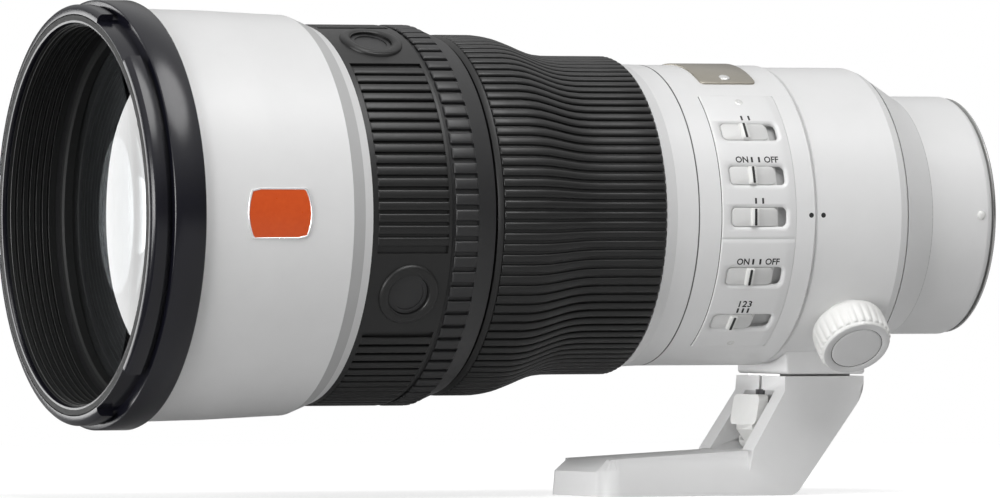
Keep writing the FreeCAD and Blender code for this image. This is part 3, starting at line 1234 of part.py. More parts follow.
# Drop-in filter: cage, holder with its outer cap, glass and lock
def drop_in_filter():
    def cradle(sketch, gap, top):
        reach = "filter_r + %s" % gap
        return outline(sketch, [("-(%s)" % reach, "0", reach), ("0", "-(%s)" % reach, reach),
                                (reach, "0"), (reach, top), ("-(%s)" % reach, top)])

    cage = revolved("filter_cage", [
        ("filter_front_f + cage_wall", "filter_glass_r - bevel"),
        ("filter_front_f + cage_wall", "rear_r - rear_wall"),
        ("filter_rear_f - cage_wall", "rear_r - rear_wall"),
        ("filter_rear_f - cage_wall", "filter_glass_r - bevel")])
    sketch = new_sketch(cage, "slot", "YZ_Plane", "-filter_front_f - fit")
    cradle(sketch, "fit", "rear_r + bevel")
    solid(cage, "Pocket", sketch, "filter_front_f - filter_rear_f + 2 * fit", reverse=True)
    turn(cage, "filter_angle")
    holder = new_body("filter_holder")
    sketch = new_sketch(holder, "frame", "YZ_Plane", "-filter_front_f")
    cradle(sketch, "0", "rear_r + bevel")
    solid(holder, "Pad", sketch, "filter_front_f - filter_rear_f")
    sketch = new_sketch(holder, "outside", "XZ_Plane")
    rectangle(sketch, "-filter_front_f - 1", "-filter_rear_f + 1", "rear_r", "rear_r * 2")
    solid(holder, "Groove", sketch)
    window = circles(new_sketch(holder, "window", "YZ_Plane", "-filter_front_f"), [("0", "0")],
                     "filter_glass_r + fit")
    solid(holder, "Pocket", window, "filter_front_f", reverse=True)
    seat = circles(new_sketch(holder, "lock_seat", "XY_Plane", "rear_r - lock_deep"),
                   [("-(filter_front_f + filter_rear_f) / 2", "0")], "lock_r + fit")
    solid(holder, "Pocket", seat, reverse=True)
    turn(holder, "filter_angle")
    pane_f = "filter_front_f - (filter_long - filter_pane) / 2"
    pane = tube("filter_glass", pane_f, pane_f + " - filter_pane", "filter_glass_r", "0")
    turn(pane, "filter_angle")
    lock = new_body("filter_lock")
    disc = circles(new_sketch(lock, "disc", "XY_Plane", "rear_r - lock_deep + fit"),
                   [("-(filter_front_f + filter_rear_f) / 2", "0")], "lock_r")
    solid(lock, "Pad", disc, "lock_deep - bevel")
    for side in (-1, 1):
        thumb = new_sketch(lock, "thumb", "XY_Plane", "rear_r - lock_deep + bevel")
        rectangle(thumb, "-(filter_front_f + filter_rear_f) / 2 - lock_r * 0.75",
                  "-(filter_front_f + filter_rear_f) / 2 + lock_r * 0.75",
                  "%d * lock_r / 3 - lock_r / 6" % side, "%d * lock_r / 3 + lock_r / 6" % side)
        solid(lock, "Pocket", thumb, reverse=True)
    turn(lock, "filter_angle")


# Optics behind the front group: middle, focus, iris, stabiliser and rear groups
def inner_optics():
    tube_a = "tube_a_r - tube_wall - fit"
    tube_b = "tube_b_r - tube_wall - fit"
    tube_c = "tube_c_r - tube_wall - fit"
    front = "tube_step_f + tube_wall"
    rear = "tube_step2_f + tube_wall"
    plates = [tube("front_bulkhead", front + " + plate_wall", front, tube_a, "carriage_r - 2 * ear"),
              tube("rear_bulkhead", rear + " + plate_wall", rear, tube_b, "carriage_r - 2 * ear")]
    rods = []
    for angle in (90, -90):
        foot = around(size("rod_ring_r"), angle, size(front + " + plate_wall / 2"))
        rods.append(Part.makeCylinder(size("rod_r"), size("tube_step_f - tube_step2_f"), foot, AXIS))
    for plate in plates:
        holes = circles(new_sketch(plate, "rod_holes", "YZ_Plane"),
                        [("0", "rod_ring_r"), ("0", "-rod_ring_r")], "rod_r")
        solid(plate, "Pocket", holes)
    rods = feature_from("guide_rods", Part.Compound(rods))
    grouped("focus_guides", plates + [rods])
    motors = []
    long = size("tube_step_f - tube_step2_f - plate_wall")
    for near_y in (size("carriage_r + ear"), -size("carriage_r + ear + motor_thick")):
        corner = FreeCAD.Vector(-size(front), near_y, -size("motor_wide") / 2)
        motors.append(Part.makeBox(long, size("motor_thick"), size("motor_wide"), corner))
    feature_from("focus_motors", Part.Compound(motors))
    for name, lens, sides in (("focus_a", "front_focus", (1, -1)), ("focus_b", "rear_focus", (-1, 1))):
        body = tube(lens + "_carriage", name + "_f", name + "_f - carriage_long", "carriage_r",
                    name + "_r + fit")
        sketch = new_sketch(body, "ears", "YZ_Plane", "-%s_f" % name)
        rectangle(sketch, "-rod_r - ear", "rod_r + ear", "-rod_ring_r - rod_r - ear",
                  "rod_ring_r + rod_r + ear")
        solid(body, "Pad", sketch, "carriage_long")
        clear = circles(new_sketch(body, "clear_way", "YZ_Plane", "-%s_f" % name),
                        [("0", "0")], name + "_r + fit")
        solid(body, "Pocket", clear, "carriage_long", reverse=True)
        rods_way = circles(new_sketch(body, "rod_ways", "YZ_Plane", "-%s_f" % name),
                           [("0", "rod_ring_r"), ("0", "-rod_ring_r")], "rod_r + fit")
        solid(body, "Pocket", rods_way, "carriage_long", reverse=True)
        glass(lens + "_element", name + "_f - ear", name, sides[0], sides[1])
    tube("iris_unit", "iris_f", "iris_f - iris_long", tube_c, "iris_bore_r")
    ahead_f = "steady_f - steady_long / 2 + steady_rim / 2"
    behind_f = "steady_f - steady_long / 2 - steady_rim / 2"
    rim_r = "steady_bore_r + 2 * steady_shift"
    groove_r = rim_r + " + steady_shift + air"
    revolved("stabiliser_frame", [
        ("steady_f", "steady_bore_r"), ("steady_f", tube_c),
        ("steady_f - steady_long", tube_c), ("steady_f - steady_long", "steady_bore_r"),
        (behind_f + " - fit", "steady_bore_r"), (behind_f + " - fit", groove_r),
        (ahead_f + " + fit", groove_r), (ahead_f + " + fit", "steady_bore_r")])
    revolved("stabiliser_group", [
        ("steady_f - 2 * bevel", "steady_r + fit"), ("steady_f - 2 * bevel", "steady_group_r"),
        (ahead_f, "steady_group_r"), (ahead_f, rim_r), (behind_f, rim_r),
        (behind_f, "steady_group_r"),
        ("steady_f - steady_long + 2 * bevel", "steady_group_r"),
        ("steady_f - steady_long + 2 * bevel", "steady_r + fit")])
    glass("stabiliser_element", "steady_f - steady_long / 4", "steady", 1, 1)
    revolved("rear_group_cell", [
        ("rear_group_f", "rear_a_r + fit"), ("rear_group_f", tube_c),
        ("rear_group_f - ring_thick", tube_c), ("rear_group_f - ring_thick", "rear_a_r + ring_thick"),
        ("rear_group_f - rear_group_long", "rear_a_r + ring_thick"),
        ("rear_group_f - rear_group_long", "rear_a_r + fit")])
    glass("rear_group_element", "rear_group_f - 2 * ring_thick", "rear_a", 1, 1)
    tube("main_board", "board_f", "board_f - board_thick", tube_c, "rear_a_r + 2 * ring_thick")


MAKERS = (front_ring, light_baffle, front_barrel, front_group, main_tube, hold_grip,
          hold_buttons, function_ring, focus_ring, panel_barrel, switch_panel, switch_slides,
          top_plate, tripod_collar, lock_knob, foot, foot_lock, rear_barrel, camera_mount,
          drop_in_filter, inner_optics)
for make in MAKERS:
    make()

doc.recompute()
faults = []
for item in doc.Objects:
    if "Invalid" in item.State or "Error" in item.State:
        faults.append(item.Label)
for part in sub_parts:
    if part.Shape.isNull() or not part.Shape.isValid() or not part.Shape.Solids:
        faults.append(part.Label + " shape")
if faults:
    raise RuntimeError("not built: " + ", ".join(faults))
os.makedirs("parts", exist_ok=True)
for part in sub_parts:
    part.Shape.exportStep("parts/%s.step" % part.Label)
    print("%-24s solids %d volume %.1f" % (part.Label, len(part.Shape.Solids), part.Shape.Volume))
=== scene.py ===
import json
import math

import bmesh
import bpy
from mathutils import Matrix, Vector


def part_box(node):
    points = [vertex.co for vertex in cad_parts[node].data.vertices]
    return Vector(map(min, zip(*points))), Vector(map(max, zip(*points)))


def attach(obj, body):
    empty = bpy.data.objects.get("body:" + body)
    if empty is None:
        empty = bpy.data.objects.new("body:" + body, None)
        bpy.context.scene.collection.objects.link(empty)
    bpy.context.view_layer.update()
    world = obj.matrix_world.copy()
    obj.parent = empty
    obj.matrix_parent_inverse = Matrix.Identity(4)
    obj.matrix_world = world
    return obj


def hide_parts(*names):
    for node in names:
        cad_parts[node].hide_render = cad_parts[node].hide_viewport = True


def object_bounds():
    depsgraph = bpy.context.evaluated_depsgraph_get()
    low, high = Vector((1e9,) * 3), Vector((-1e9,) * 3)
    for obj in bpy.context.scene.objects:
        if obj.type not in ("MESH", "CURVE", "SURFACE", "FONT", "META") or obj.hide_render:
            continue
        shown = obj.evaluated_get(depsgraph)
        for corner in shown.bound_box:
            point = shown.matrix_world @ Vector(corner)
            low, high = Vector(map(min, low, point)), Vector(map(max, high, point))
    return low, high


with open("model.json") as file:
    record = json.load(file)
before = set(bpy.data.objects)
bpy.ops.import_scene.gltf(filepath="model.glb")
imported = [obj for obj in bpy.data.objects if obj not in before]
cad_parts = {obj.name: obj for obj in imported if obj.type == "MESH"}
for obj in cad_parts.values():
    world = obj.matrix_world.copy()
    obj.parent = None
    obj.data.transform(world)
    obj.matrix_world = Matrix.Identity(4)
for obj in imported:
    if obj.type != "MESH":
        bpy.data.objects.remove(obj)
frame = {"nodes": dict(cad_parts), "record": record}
nodes = frame["nodes"]


def asLists(corners):
    return [[float(n) for n in corner] for corner in corners]


cadBox = asLists(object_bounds())
print("frame loaded:", len(nodes), "nodes")

mm = 0.001
link = bpy.context.scene.collection.objects.link


# colours and shader nodes

def hexColour(text):
    # sRGB hex to the linear values that Blender mixes
    channels = []
    for at in (0, 2, 4):
        c = int(text[at:at + 2], 16) / 255
        channels.append(c / 12.92 if c <= 0.04045 else ((c + 0.055) / 1.055) ** 2.4)
    return (*channels, 1.0)


def addNode(tree, kind, values=None, **settings):
    # adds one node; values maps socket names or numbers to a number, a colour or another node's output
    node = tree.nodes.new(kind)
    for name, value in settings.items():
        setattr(node, name, value)
    for name, value in (values or {}).items():
        socket = node.inputs[name]
        if isinstance(value, bpy.types.NodeSocket):
            tree.links.new(value, socket)
        else:
            socket.default_value = value
    return node


def mottled(tree, surface, where, lowHex, highHex, grainMm):
    # slow change of colour between two close hex values
    noise = addNode(tree, "ShaderNodeTexNoise", {"Vector": where, "Scale": 1 / (grainMm * mm), "Detail": 3.0})
    shades = addNode(tree, "ShaderNodeMix", {"Factor": noise.outputs["Fac"], 6: hexColour(lowHex),
                                             7: hexColour(highHex)}, data_type="RGBA")
    tree.links.new(shades.outputs[2], surface.inputs["Base Color"])


def varied(tree, surface, where, low, high, grainMm):
    # roughness between two values
    noise = addNode(tree, "ShaderNodeTexNoise", {"Vector": where, "Scale": 1 / (grainMm * mm), "Detail": 2.0})
    ramp = addNode(tree, "ShaderNodeMapRange", {"Value": noise.outputs["Fac"], "To Min": low, "To Max": high})
    tree.links.new(ramp.outputs["Result"], surface.inputs["Roughness"])


def bumped(tree, surface, where, grainMm, strength, depthMm):
    # fine surface relief
    noise = addNode(tree, "ShaderNodeTexNoise", {"Vector": where, "Scale": 1 / (grainMm * mm), "Detail": 2.0})
    bump = addNode(tree, "ShaderNodeBump",
                   {"Height": noise.outputs["Fac"], "Strength": strength, "Distance": depthMm * mm})
    tree.links.new(bump.outputs["Normal"], surface.inputs["Normal"])


def newFinish(name, shader, colour, rough=None, relief=None):
    # a Principled surface on Object coordinates, with up to three kinds of grain
    material = bpy.data.materials.new(name)
    material.use_nodes = True
    tree = material.node_tree
    tree.nodes.clear()
    surface = addNode(tree, "ShaderNodeBsdfPrincipled", shader)
    addNode(tree, "ShaderNodeOutputMaterial", {"Surface": surface.outputs["BSDF"]})
    where = addNode(tree, "ShaderNodeTexCoord").outputs["Object"]
    mottled(tree, surface, where, *colour)
    if rough:
        varied(tree, surface, where, *rough)
    if relief:
        bumped(tree, surface, where, *relief)
    return material


# each finish: shader values; two hex colours and their grain; two roughness values and their grain; grain,
# strength and depth of the relief; grains and depths in mm
finishes = {
    # baked white enamel over a magnesium barrel: satin, faint orange peel of about 0.8 mm
    "whiteEnamel": ({"IOR": 1.5}, ("E0E0E0", "E5E5E5", 9), (0.34, 0.42, 3), (0.8, 0.12, 0.05)),
    # the same enamel painted greyer on the narrow sloped edges and the rear cone: painted shade of faces that turn
    # away from the light
    "paintedShadeEnamel": ({"IOR": 1.5}, ("BDBDBD", "C3C3C3", 9), (0.36, 0.44, 3), (0.8, 0.12, 0.05)),
    # hard black anodised aluminium, satin, with the blue-violet cast of its dye
    "blackAnodised": ({"IOR": 1.5}, ("0E0E15", "12121B", 6), (0.2, 0.27, 2), (0.5, 0.03, 0.01)),
    # flocked matt black inside the barrel
    "mattBlack": ({"IOR": 1.45}, ("131414", "191A1A", 1.2), (0.55, 0.7, 1.5), (0.4, 0.25, 0.05)),
    # moulded nitrile rubber: dark grey, fine moulded grain, a dull sheen on the rib tops
    "gripRubber": ({"IOR": 1.5}, ("131313", "1A1A1A", 2.5), (0.36, 0.48, 2), (0.35, 0.2, 0.04)),
    # optical glass with an antireflection coating: clear, a neutral grey where it is thick
    "coatedGlass": ({"IOR": 1.6, "Transmission Weight": 1.0, "Roughness": 0.0}, ("7D8183", "898D8F", 60)),
    # die-cast magnesium frame parts with a dark chromate finish
    "castMetal": ({"Metallic": 0.6}, ("3A3A3C", "464648", 3), (0.45, 0.6, 1.5), (0.5, 0.2, 0.05)),
    # turned aluminium left bare
    "bareAluminium": ({"Metallic": 1.0}, ("B9B9B8", "C6C6C5", 4), (0.25, 0.35, 1), (0.3, 0.1, 0.02)),
    # champagne anodised aluminium of the top plate, fine brushed along the axis
    "champagnePlate": ({"Metallic": 0.75}, ("9B968B", "A8A398", 5), (0.28, 0.4, 1), (0.3, 0.1, 0.02)),
    # stainless steel pins, screws and bushes
    "stainless": ({"Metallic": 1.0}, ("A9A9AA", "BBBBBC", 1.5), (0.2, 0.32, 0.8), (0.25, 0.1, 0.02)),
    # moulded ABS of the slides, a little greyer than the enamel
    "slidePlastic": ({"IOR": 1.46}, ("D6D6D5", "DCDCDB", 3), (0.38, 0.48, 1.5), (0.4, 0.1, 0.02)),
    # brilliant white ABS of the knob and the mounting bead; on the thumb ribs a painted highlight, whiter than the
    # slides' own plastic
    "brightPlasticAndRibHighlight": ({"IOR": 1.46}, ("E0E0DE", "E5E5E3", 3), (0.3, 0.4, 1.5), (0.4, 0.08, 0.02)),
    # grey floor seen behind a slide: painted shade in the slot, whose inside is the panel's white
    "slotPaintedShade": ({"IOR": 1.46}, ("B2B2B2", "BCBCBC", 2), (0.45, 0.55, 1)),
    # grey shade of a closed seam
    "seamGrey": ({"IOR": 1.45}, ("5A5A5A", "666666", 1), (0.5, 0.6, 1)),
    # lighter grey crests of the baffle's ridges, semi-matt: a painted highlight along each crest
    "crestPaintedHighlight": ({"IOR": 1.5}, ("585858", "646464", 1.5), (0.3, 0.4, 1)),
    # black glass-filled nylon
    "blackNylon": ({"IOR": 1.53}, ("1E1E1F", "272728", 2), (0.4, 0.52, 1), (0.35, 0.15, 0.03)),
    # white acetal bearing strips, waxy
    "acetal": ({"IOR": 1.48}, ("DCDAD2", "E4E2DA", 4), (0.35, 0.45, 2)),
    # solder mask over glass fibre, with the copper lines just showing
    "solderMask": ({"IOR": 1.5}, ("123A22", "1D5A33", 1.2), (0.3, 0.4, 2)),
    # chromed brass mount, turned in fine rings
    "chromedBrass": ({"Metallic": 1.0}, ("BDBDBC", "CACAC9", 3), (0.18, 0.28, 1), (0.25, 0.1, 0.02)),
    # bright chromed edge of the badge
    "polishedFrame": ({"Metallic": 0.55}, ("F2F2F2", "FAFAFA", 2), (0.2, 0.3, 1)),
    # orange baked enamel with a faint flake
    "orangeEnamel": ({"IOR": 1.5}, ("CE4A17", "DA5A22", 1.5), (0.25, 0.35, 1), (0.3, 0.08, 0.02)),
    # black filling of the index marks, matt
    "markInk": ({"IOR": 1.45}, ("1E1E1E", "2B2B2B", 1), (0.5, 0.6, 1)),
    # nickelled screw heads and studs, pale
    "paleScrew": ({"Metallic": 0.5}, ("D2D2D0", "DEDEDC", 1), (0.3, 0.4, 1)),
    # the knob's cap painted grey: painted shade on a cap as white as the knob, with a relief finer than the
    # barrel's
    "capPaintedShade": ({"IOR": 1.5}, ("CECECE", "D4D4D4", 4), (0.34, 0.44, 2), (0.5, 0.1, 0.03)),
}
(whiteEnamel, paintedShadeEnamel, blackAnodised, mattBlack, gripRubber, coatedGlass, castMetal,
 bareAluminium, champagnePlate, stainless, slidePlastic, brightPlasticAndRibHighlight, slotPaintedShade, seamGrey,
 crestPaintedHighlight, blackNylon, acetal, solderMask, chromedBrass, polishedFrame, orangeEnamel, markInk,
 paleScrew, capPaintedShade) = (newFinish(name, *values) for name, values in finishes.items())

slotFinish = {
    "white_paint": whiteEnamel, "black_paint": blackAnodised, "baffle_black": mattBlack,
    "grip_rubber": gripRubber, "coated_glass": coatedGlass, "structure_metal": castMetal,
    "bare_metal": bareAluminium, "plate_metal": champagnePlate, "steel": stainless,
    "switch_plastic": slidePlastic, "black_plastic": blackNylon, "liner_plastic": acetal,
    "board_green": solderMask, "mount_metal": chromedBrass,
}
# the toothed ring and the sleeve are a neutral black, without the cast of the hood bayonet; the pin and plunger
# behind the foot's lever are painted dark as painted shade behind the lever, in place of their steel
ownFinish = {"function_ring": blackNylon, "focus_sleeve": blackNylon,
             "foot_lock_pin": castMetal, "clamp_plunger": castMetal}
for part in frame["record"]["subparts"]:
    mesh = nodes[part["node"]].data
    mesh.materials.clear()
    mesh.materials.append(ownFinish.get(part["node"], slotFinish[part["material_slot"]]))
print("finishes set on the nodes")


# mesh helpers; lengths are in millimetres until a piece is finished

def around(x, radius, angle):
    # a point off the lens axis; the angle runs from the switch side upwards
    turn = math.radians(angle)
    return Vector((x, -radius * math.cos(turn), radius * math.sin(turn)))


def nodeBox(name):
    low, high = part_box(name)
    return Vector(low) / mm, Vector(high) / mm


def asObject(name, bm):
    mesh = bpy.data.meshes.new(name)
    bm.to_mesh(mesh)
    bm.free()
    made = bpy.data.objects.new(name, mesh)
    link(made)
    return made


def evaluated(made):
    # the mesh of an object after its modifiers
    bpy.context.view_layer.update()
    return bpy.data.meshes.new_from_object(made.evaluated_get(bpy.context.evaluated_depsgraph_get()))


def addPiece(name, bm, finish, body, smooth=40, weighted=False):
    # turns a bmesh in millimetres into a finished piece that rides on a body
    bmesh.ops.remove_doubles(bm, verts=bm.verts, dist=0.0005)
    bmesh.ops.recalc_face_normals(bm, faces=bm.faces)
    bmesh.ops.scale(bm, vec=(mm, mm, mm), verts=bm.verts)
    piece = asObject(name, bm)
    mesh = piece.data
    mesh.materials.append(finish)
    mesh.polygons.foreach_set("use_smooth", [True] * len(mesh.polygons))
    mesh.set_sharp_from_angle(angle=math.radians(smooth))
    if weighted:
        # large faces keep flat shading beside their rounded edges
        modifier = piece.modifiers.new("weights", "WEIGHTED_NORMAL")
        modifier.keep_sharp = True
        mesh = evaluated(piece)
        piece.modifiers.remove(modifier)
        piece.data = mesh
    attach(piece, body)
    return piece


def bridged(bm, near, far):
    # a closed band of faces between two loops with as many points
    for k in range(len(near)):
        after = (k + 1) % len(near)
        bm.faces.new((near[k], near[after], far[after], far[k]))


def lofted(bm, loops, caps=True):
    # bands from loop to loop, with both ends closed if asked
    for near, far in zip(loops, loops[1:]):
        bridged(bm, near, far)
    if caps:
        bm.faces.new(loops[0])
        bm.faces.new(loops[-1])


def turned(outline, steps=144, start=0.0, sweep=360.0):
    # closed outline of (x, radius) turned round the lens axis
    bm = bmesh.new()
    whole = sweep >= 360
    rings = []
    for at in range(steps if whole else steps + 1):
        angle = start + sweep * at / steps
        rings.append([bm.verts.new(around(x, radius, angle)) for x, radius in outline])
    lofted(bm, rings + rings[:1] if whole else rings, caps=not whole)
    return bm


def roundedBox(long, tall, corner, steps=6, x=0.0, y=0.0):
    # outline of a rectangle with round corners, counter-clockwise
    points = []
    for cx, cy, first in ((1, -1, -90), (1, 1, 0), (-1, 1, 90), (-1, -1, 180)):
        for k in range(steps + 1):
            turn = math.radians(first + 90 * k / steps)
            points.append((x + cx * (long / 2 - corner) + corner * math.cos(turn),
                           y + cy * (tall / 2 - corner) + corner * math.sin(turn)))
    return points


def disc(radius, steps):
    turns = [2 * math.pi * k / steps for k in range(steps)]
    return [(radius * math.cos(turn), radius * math.sin(turn)) for turn in turns]


def grown(outline, amount):
    # the outline moved outwards by an amount
    count = len(outline)
    result = []
    for k in range(count):
        before, here, after = (Vector(outline[(k + d) % count]) for d in (-1, 0, 1))
        first = (here - before).normalized() if (here - before).length > 1e-6 else (after - here).normalized()
        second = (after - here).normalized() if (after - here).length > 1e-6 else first
        along = (first + second).normalized()
        stretch = 1 / max(0.5, along.dot(first))
        out = here + Vector((along.y, -along.x)) * amount * stretch
        result.append((out.x, out.y))
    return result


def stacked(bm, outline, layers, caps=True):
    # a flat plate drawn as (u, v), built up from layers of (growth, height)
    loops = [[bm.verts.new((u, v, height)) for u, v in grown(outline, growth)] for growth, height in layers]
    lofted(bm, loops, caps)
    return loops


def wrapped(x, angle, radius, lean=0.0):
    # maps a flat drawing onto a barrel: u along the axis, v round it, height outwards
    return lambda flat: around(x + flat.x, radius - lean * flat.x + flat.z, angle + math.degrees(flat.y / radius))


def upright(x, angle, base):
    # maps a flat drawing onto a plane square to a radius of the barrel
    out = around(0, 1, angle)
    up = around(0, 1, angle + 90)
    return lambda flat: Vector((x + flat.x, 0, 0)) + out * (base + flat.z) + up * flat.y


def bend(bm, place, step=0.0):
    # cuts the flat shape into strips, so that it can follow the barrel, and puts it there
    if step:
        heights = [vert.co.y for vert in bm.verts]
        cut = min(heights) + step
        while cut < max(heights) - step / 4:
            bmesh.ops.bisect_plane(bm, geom=bm.verts[:] + bm.edges[:] + bm.faces[:], plane_co=(0, cut, 0),
                                   plane_no=(0, 1, 0))
            cut += step
    for vert in bm.verts:
        vert.co = place(vert.co)


def joined(bm, part):
    # adds one bmesh to another
    mesh = bpy.data.meshes.new("part")
    part.to_mesh(mesh)
    part.free()
    bm.from_mesh(mesh)
    bpy.data.meshes.remove(mesh)


def spun(bm, profile, place, steps=48, ripple=None):
    # turns (radius, height) round the height axis of a flat drawing; a third value scales the ripple of the radius
    rings = []
    for radius, height, *share in profile:
        ring = []
        for k in range(steps):
            turn = 2 * math.pi * k / steps
            reach = radius + (ripple(k) * share[0] if share else 0)
            ring.append(bm.verts.new(place(Vector((reach * math.cos(turn), reach * math.sin(turn), height)))))
        rings.append(ring)
    lofted(bm, rings)


def outerRadius(name, stations, least):
    # radius of a turned CAD part at some stations, read off its widest points
    widest = {}
    part = nodes[name]
    for vert in part.data.vertices:
        spot = part.matrix_world @ vert.co / mm
        reach = math.hypot(spot.y, spot.z)
        if reach > least:
            widest[round(spot.x, 2)] = max(widest.get(round(spot.x, 2), 0), reach)
    known = sorted(widest.items())
    radii = []
    for x in stations:
        after = next(k for k in range(1, len(known)) if known[k][0] >= x or k == len(known) - 1)
        (x0, r0), (x1, r1) = known[after - 1], known[after]
        radii.append(r0 + (r1 - r0) * (x - x0) / (x1 - x0))
    return radii


# angles in degrees: faces that lie flatter than the first are merged, edges sharper than the second are rounded
softening = {"merge": 0.003, "flat": 1.5, "sharp": 25, "segments": 3}


def softened(name, corner, shortest, narrowing, low, high):
    # copy of a CAD part in millimetres with its long outer edges rounded, made narrower towards the top
    part = nodes[name]
    bm = bmesh.new()
    bm.from_mesh(part.data)
    bmesh.ops.transform(bm, matrix=Matrix.Scale(1 / mm, 4) @ part.matrix_world, verts=bm.verts)
    bmesh.ops.remove_doubles(bm, verts=bm.verts, dist=softening["merge"])
    for vert in bm.verts:
        vert.co.y *= 1 - narrowing * (vert.co.z - low) / (high - low)
    bmesh.ops.dissolve_limit(bm, angle_limit=math.radians(softening["flat"]), verts=bm.verts, edges=bm.edges)
    edges = [edge for edge in bm.edges if edge.is_manifold and edge.is_convex
             and edge.calc_face_angle() > math.radians(softening["sharp"]) and edge.calc_length() > shortest]
    bmesh.ops.bevel(bm, geom=edges, offset=corner, offset_type="OFFSET", segments=softening["segments"],
                    profile=0.5, affect="EDGES", clamp_overlap=True)
    return bm


# Geometry Nodes: copies of one shape, turned round the lens axis or set in a row

def copyTree(finish):
    tree = bpy.data.node_groups.new("copies_" + finish.name, "GeometryNodeTree")
    face = tree.interface
    for name, kind in (("Geometry", "Geometry"), ("Copies", "Int"), ("First turn", "Float"),
                       ("Turn per copy", "Float"), ("Shift per copy", "Vector")):
        face.new_socket(name, in_out="INPUT", socket_type="NodeSocket" + kind)
    face.new_socket("Geometry", in_out="OUTPUT", socket_type="NodeSocketGeometry")
    given = addNode(tree, "NodeGroupInput").outputs
    spots = addNode(tree, "GeometryNodeMeshLine", {"Count": given["Copies"], "Offset": given["Shift per copy"]})
    number = addNode(tree, "GeometryNodeInputIndex").outputs[0]
    turn = addNode(tree, "ShaderNodeMath", {0: number, 1: given["Turn per copy"], 2: given["First turn"]},
                   operation="MULTIPLY_ADD").outputs[0]
    inRadians = addNode(tree, "ShaderNodeMath", {0: turn}, operation="RADIANS").outputs[0]
    # a turn from the switch side upwards is a negative turn about +X
    back = addNode(tree, "ShaderNodeMath", {0: inRadians, 1: -1.0}, operation="MULTIPLY").outputs[0]
    spin = addNode(tree, "FunctionNodeAxisAngleToRotation", {"Axis": (1, 0, 0), "Angle": back})
    placed = addNode(tree, "GeometryNodeInstanceOnPoints",
                     {"Points": spots.outputs[0], "Instance": given["Geometry"], "Rotation": spin.outputs[0]})
    real = addNode(tree, "GeometryNodeRealizeInstances", {"Geometry": placed.outputs[0]})
    painted = addNode(tree, "GeometryNodeSetMaterial", {"Geometry": real.outputs[0], "Material": finish})
    addNode(tree, "NodeGroupOutput", {0: painted.outputs[0]})
    return tree


trees = {}


def repeated(piece, copies, firstTurn, turnPerCopy, shiftPerCopy=(0.0, 0.0, 0.0)):
    # replaces the piece's mesh by copies of it; turns are in degrees, shifts in metres
    finish = piece.data.materials[0]
    if finish.name not in trees:
        trees[finish.name] = copyTree(finish)
    tree = trees[finish.name]
    modifier = piece.modifiers.new("copies", "NODES")
    modifier.node_group = tree
    values = {"Copies": copies, "First turn": firstTurn, "Turn per copy": turnPerCopy,
              "Shift per copy": shiftPerCopy}
    for item in tree.interface.items_tree:
        if item.in_out == "INPUT" and item.name in values:
            modifier[item.identifier] = values[item.name]
    mesh = evaluated(piece)
    piece.modifiers.remove(modifier)
    mesh.name = piece.name
    piece.data = mesh


# focus ring: rubber sleeve in a soft S, with ribs that follow it

focusGrip = {"ribs": 104, "ribShare": 0.76, "ribDepth": 0.9, "plainFront": 1.8,
             "narrowRadius": 46.9, "wideRadius": 52.9, "sleeveSteps": 208,
             "taper": [(0, 0), (0.1, 0), (0.2, 0), (0.25, 0.05), (0.297, 0.14), (0.34, 0.27), (0.385, 0.42),
                       (0.44, 0.62), (0.496, 0.8), (0.55, 0.92), (0.62, 0.99), (0.7, 1), (0.85, 1), (1, 1)]}
low, high = nodeBox("focus_ring_grip")
ribFront = low.x + focusGrip["plainFront"]
fall = focusGrip["wideRadius"] - focusGrip["narrowRadius"]
stations = [(ribFront + (high.x - ribFront) * along, focusGrip["wideRadius"] - fall * down)
            for along, down in focusGrip["taper"]]
depth = focusGrip["ribDepth"]
wide = focusGrip["wideRadius"]
skin = [(low.x, wide - depth), (low.x + 0.8, wide - 0.3), (ribFront - 0.3, wide - 0.05), (ribFront, wide - 0.35),
        (ribFront + 0.05, wide - depth)]
skin += [(x, radius - depth) for x, radius in stations[1:]]
inside = [(x, radius - 2 * depth) for x, radius in reversed(stations)]
inside[-1] = (low.x, inside[-1][1])
bm = turned(skin + inside, focusGrip["sleeveSteps"])
focusSkin = addPiece("focusSkin", bm, gripRubber, "focus_ring")
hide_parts("focus_ring_grip")

bm = bmesh.new()
half = 180 / focusGrip["ribs"] * focusGrip["ribShare"]
first, last = stations[0][0], stations[-1][0]
narrow = stations[-1][1]
# along the rib: station, radius of the sleeve's crest, share of the rib's height
profile = [(first + 0.02, wide, 0.0), (first + 0.12, wide, 0.75), (first + 0.5, wide, 1.0)]
profile += [(x, radius, 1.0) for x, radius in stations[1:-1]]
profile += [(last - 0.6, narrow, 1.0), (last - 0.14, narrow, 0.75), (last, narrow, 0.0)]
# across the rib: share of its half width, share of its height that is missing
section = [(-1.0, 1.2), (-0.95, 0.42), (-0.76, 0.12), (-0.4, 0.0),
           (0.4, 0.0), (0.76, 0.12), (0.95, 0.42), (1.0, 1.2)]
rows = []
for x, radius, lift in profile:
    floorRadius = radius - depth
    rows.append([bm.verts.new(around(x, max(floorRadius - 0.2, floorRadius + (depth * (1 - drop)) * lift),
                                     half * side))
                 for side, drop in section])
lofted(bm, rows)
focusRibs = addPiece("focusRibs", bm, gripRubber, "focus_ring", smooth=60)
repeated(focusRibs, focusGrip["ribs"], 0.0, 360 / focusGrip["ribs"])
print("focus ring ribbed")


# hold grip and toothed ring: rounded caps on every rib and tooth

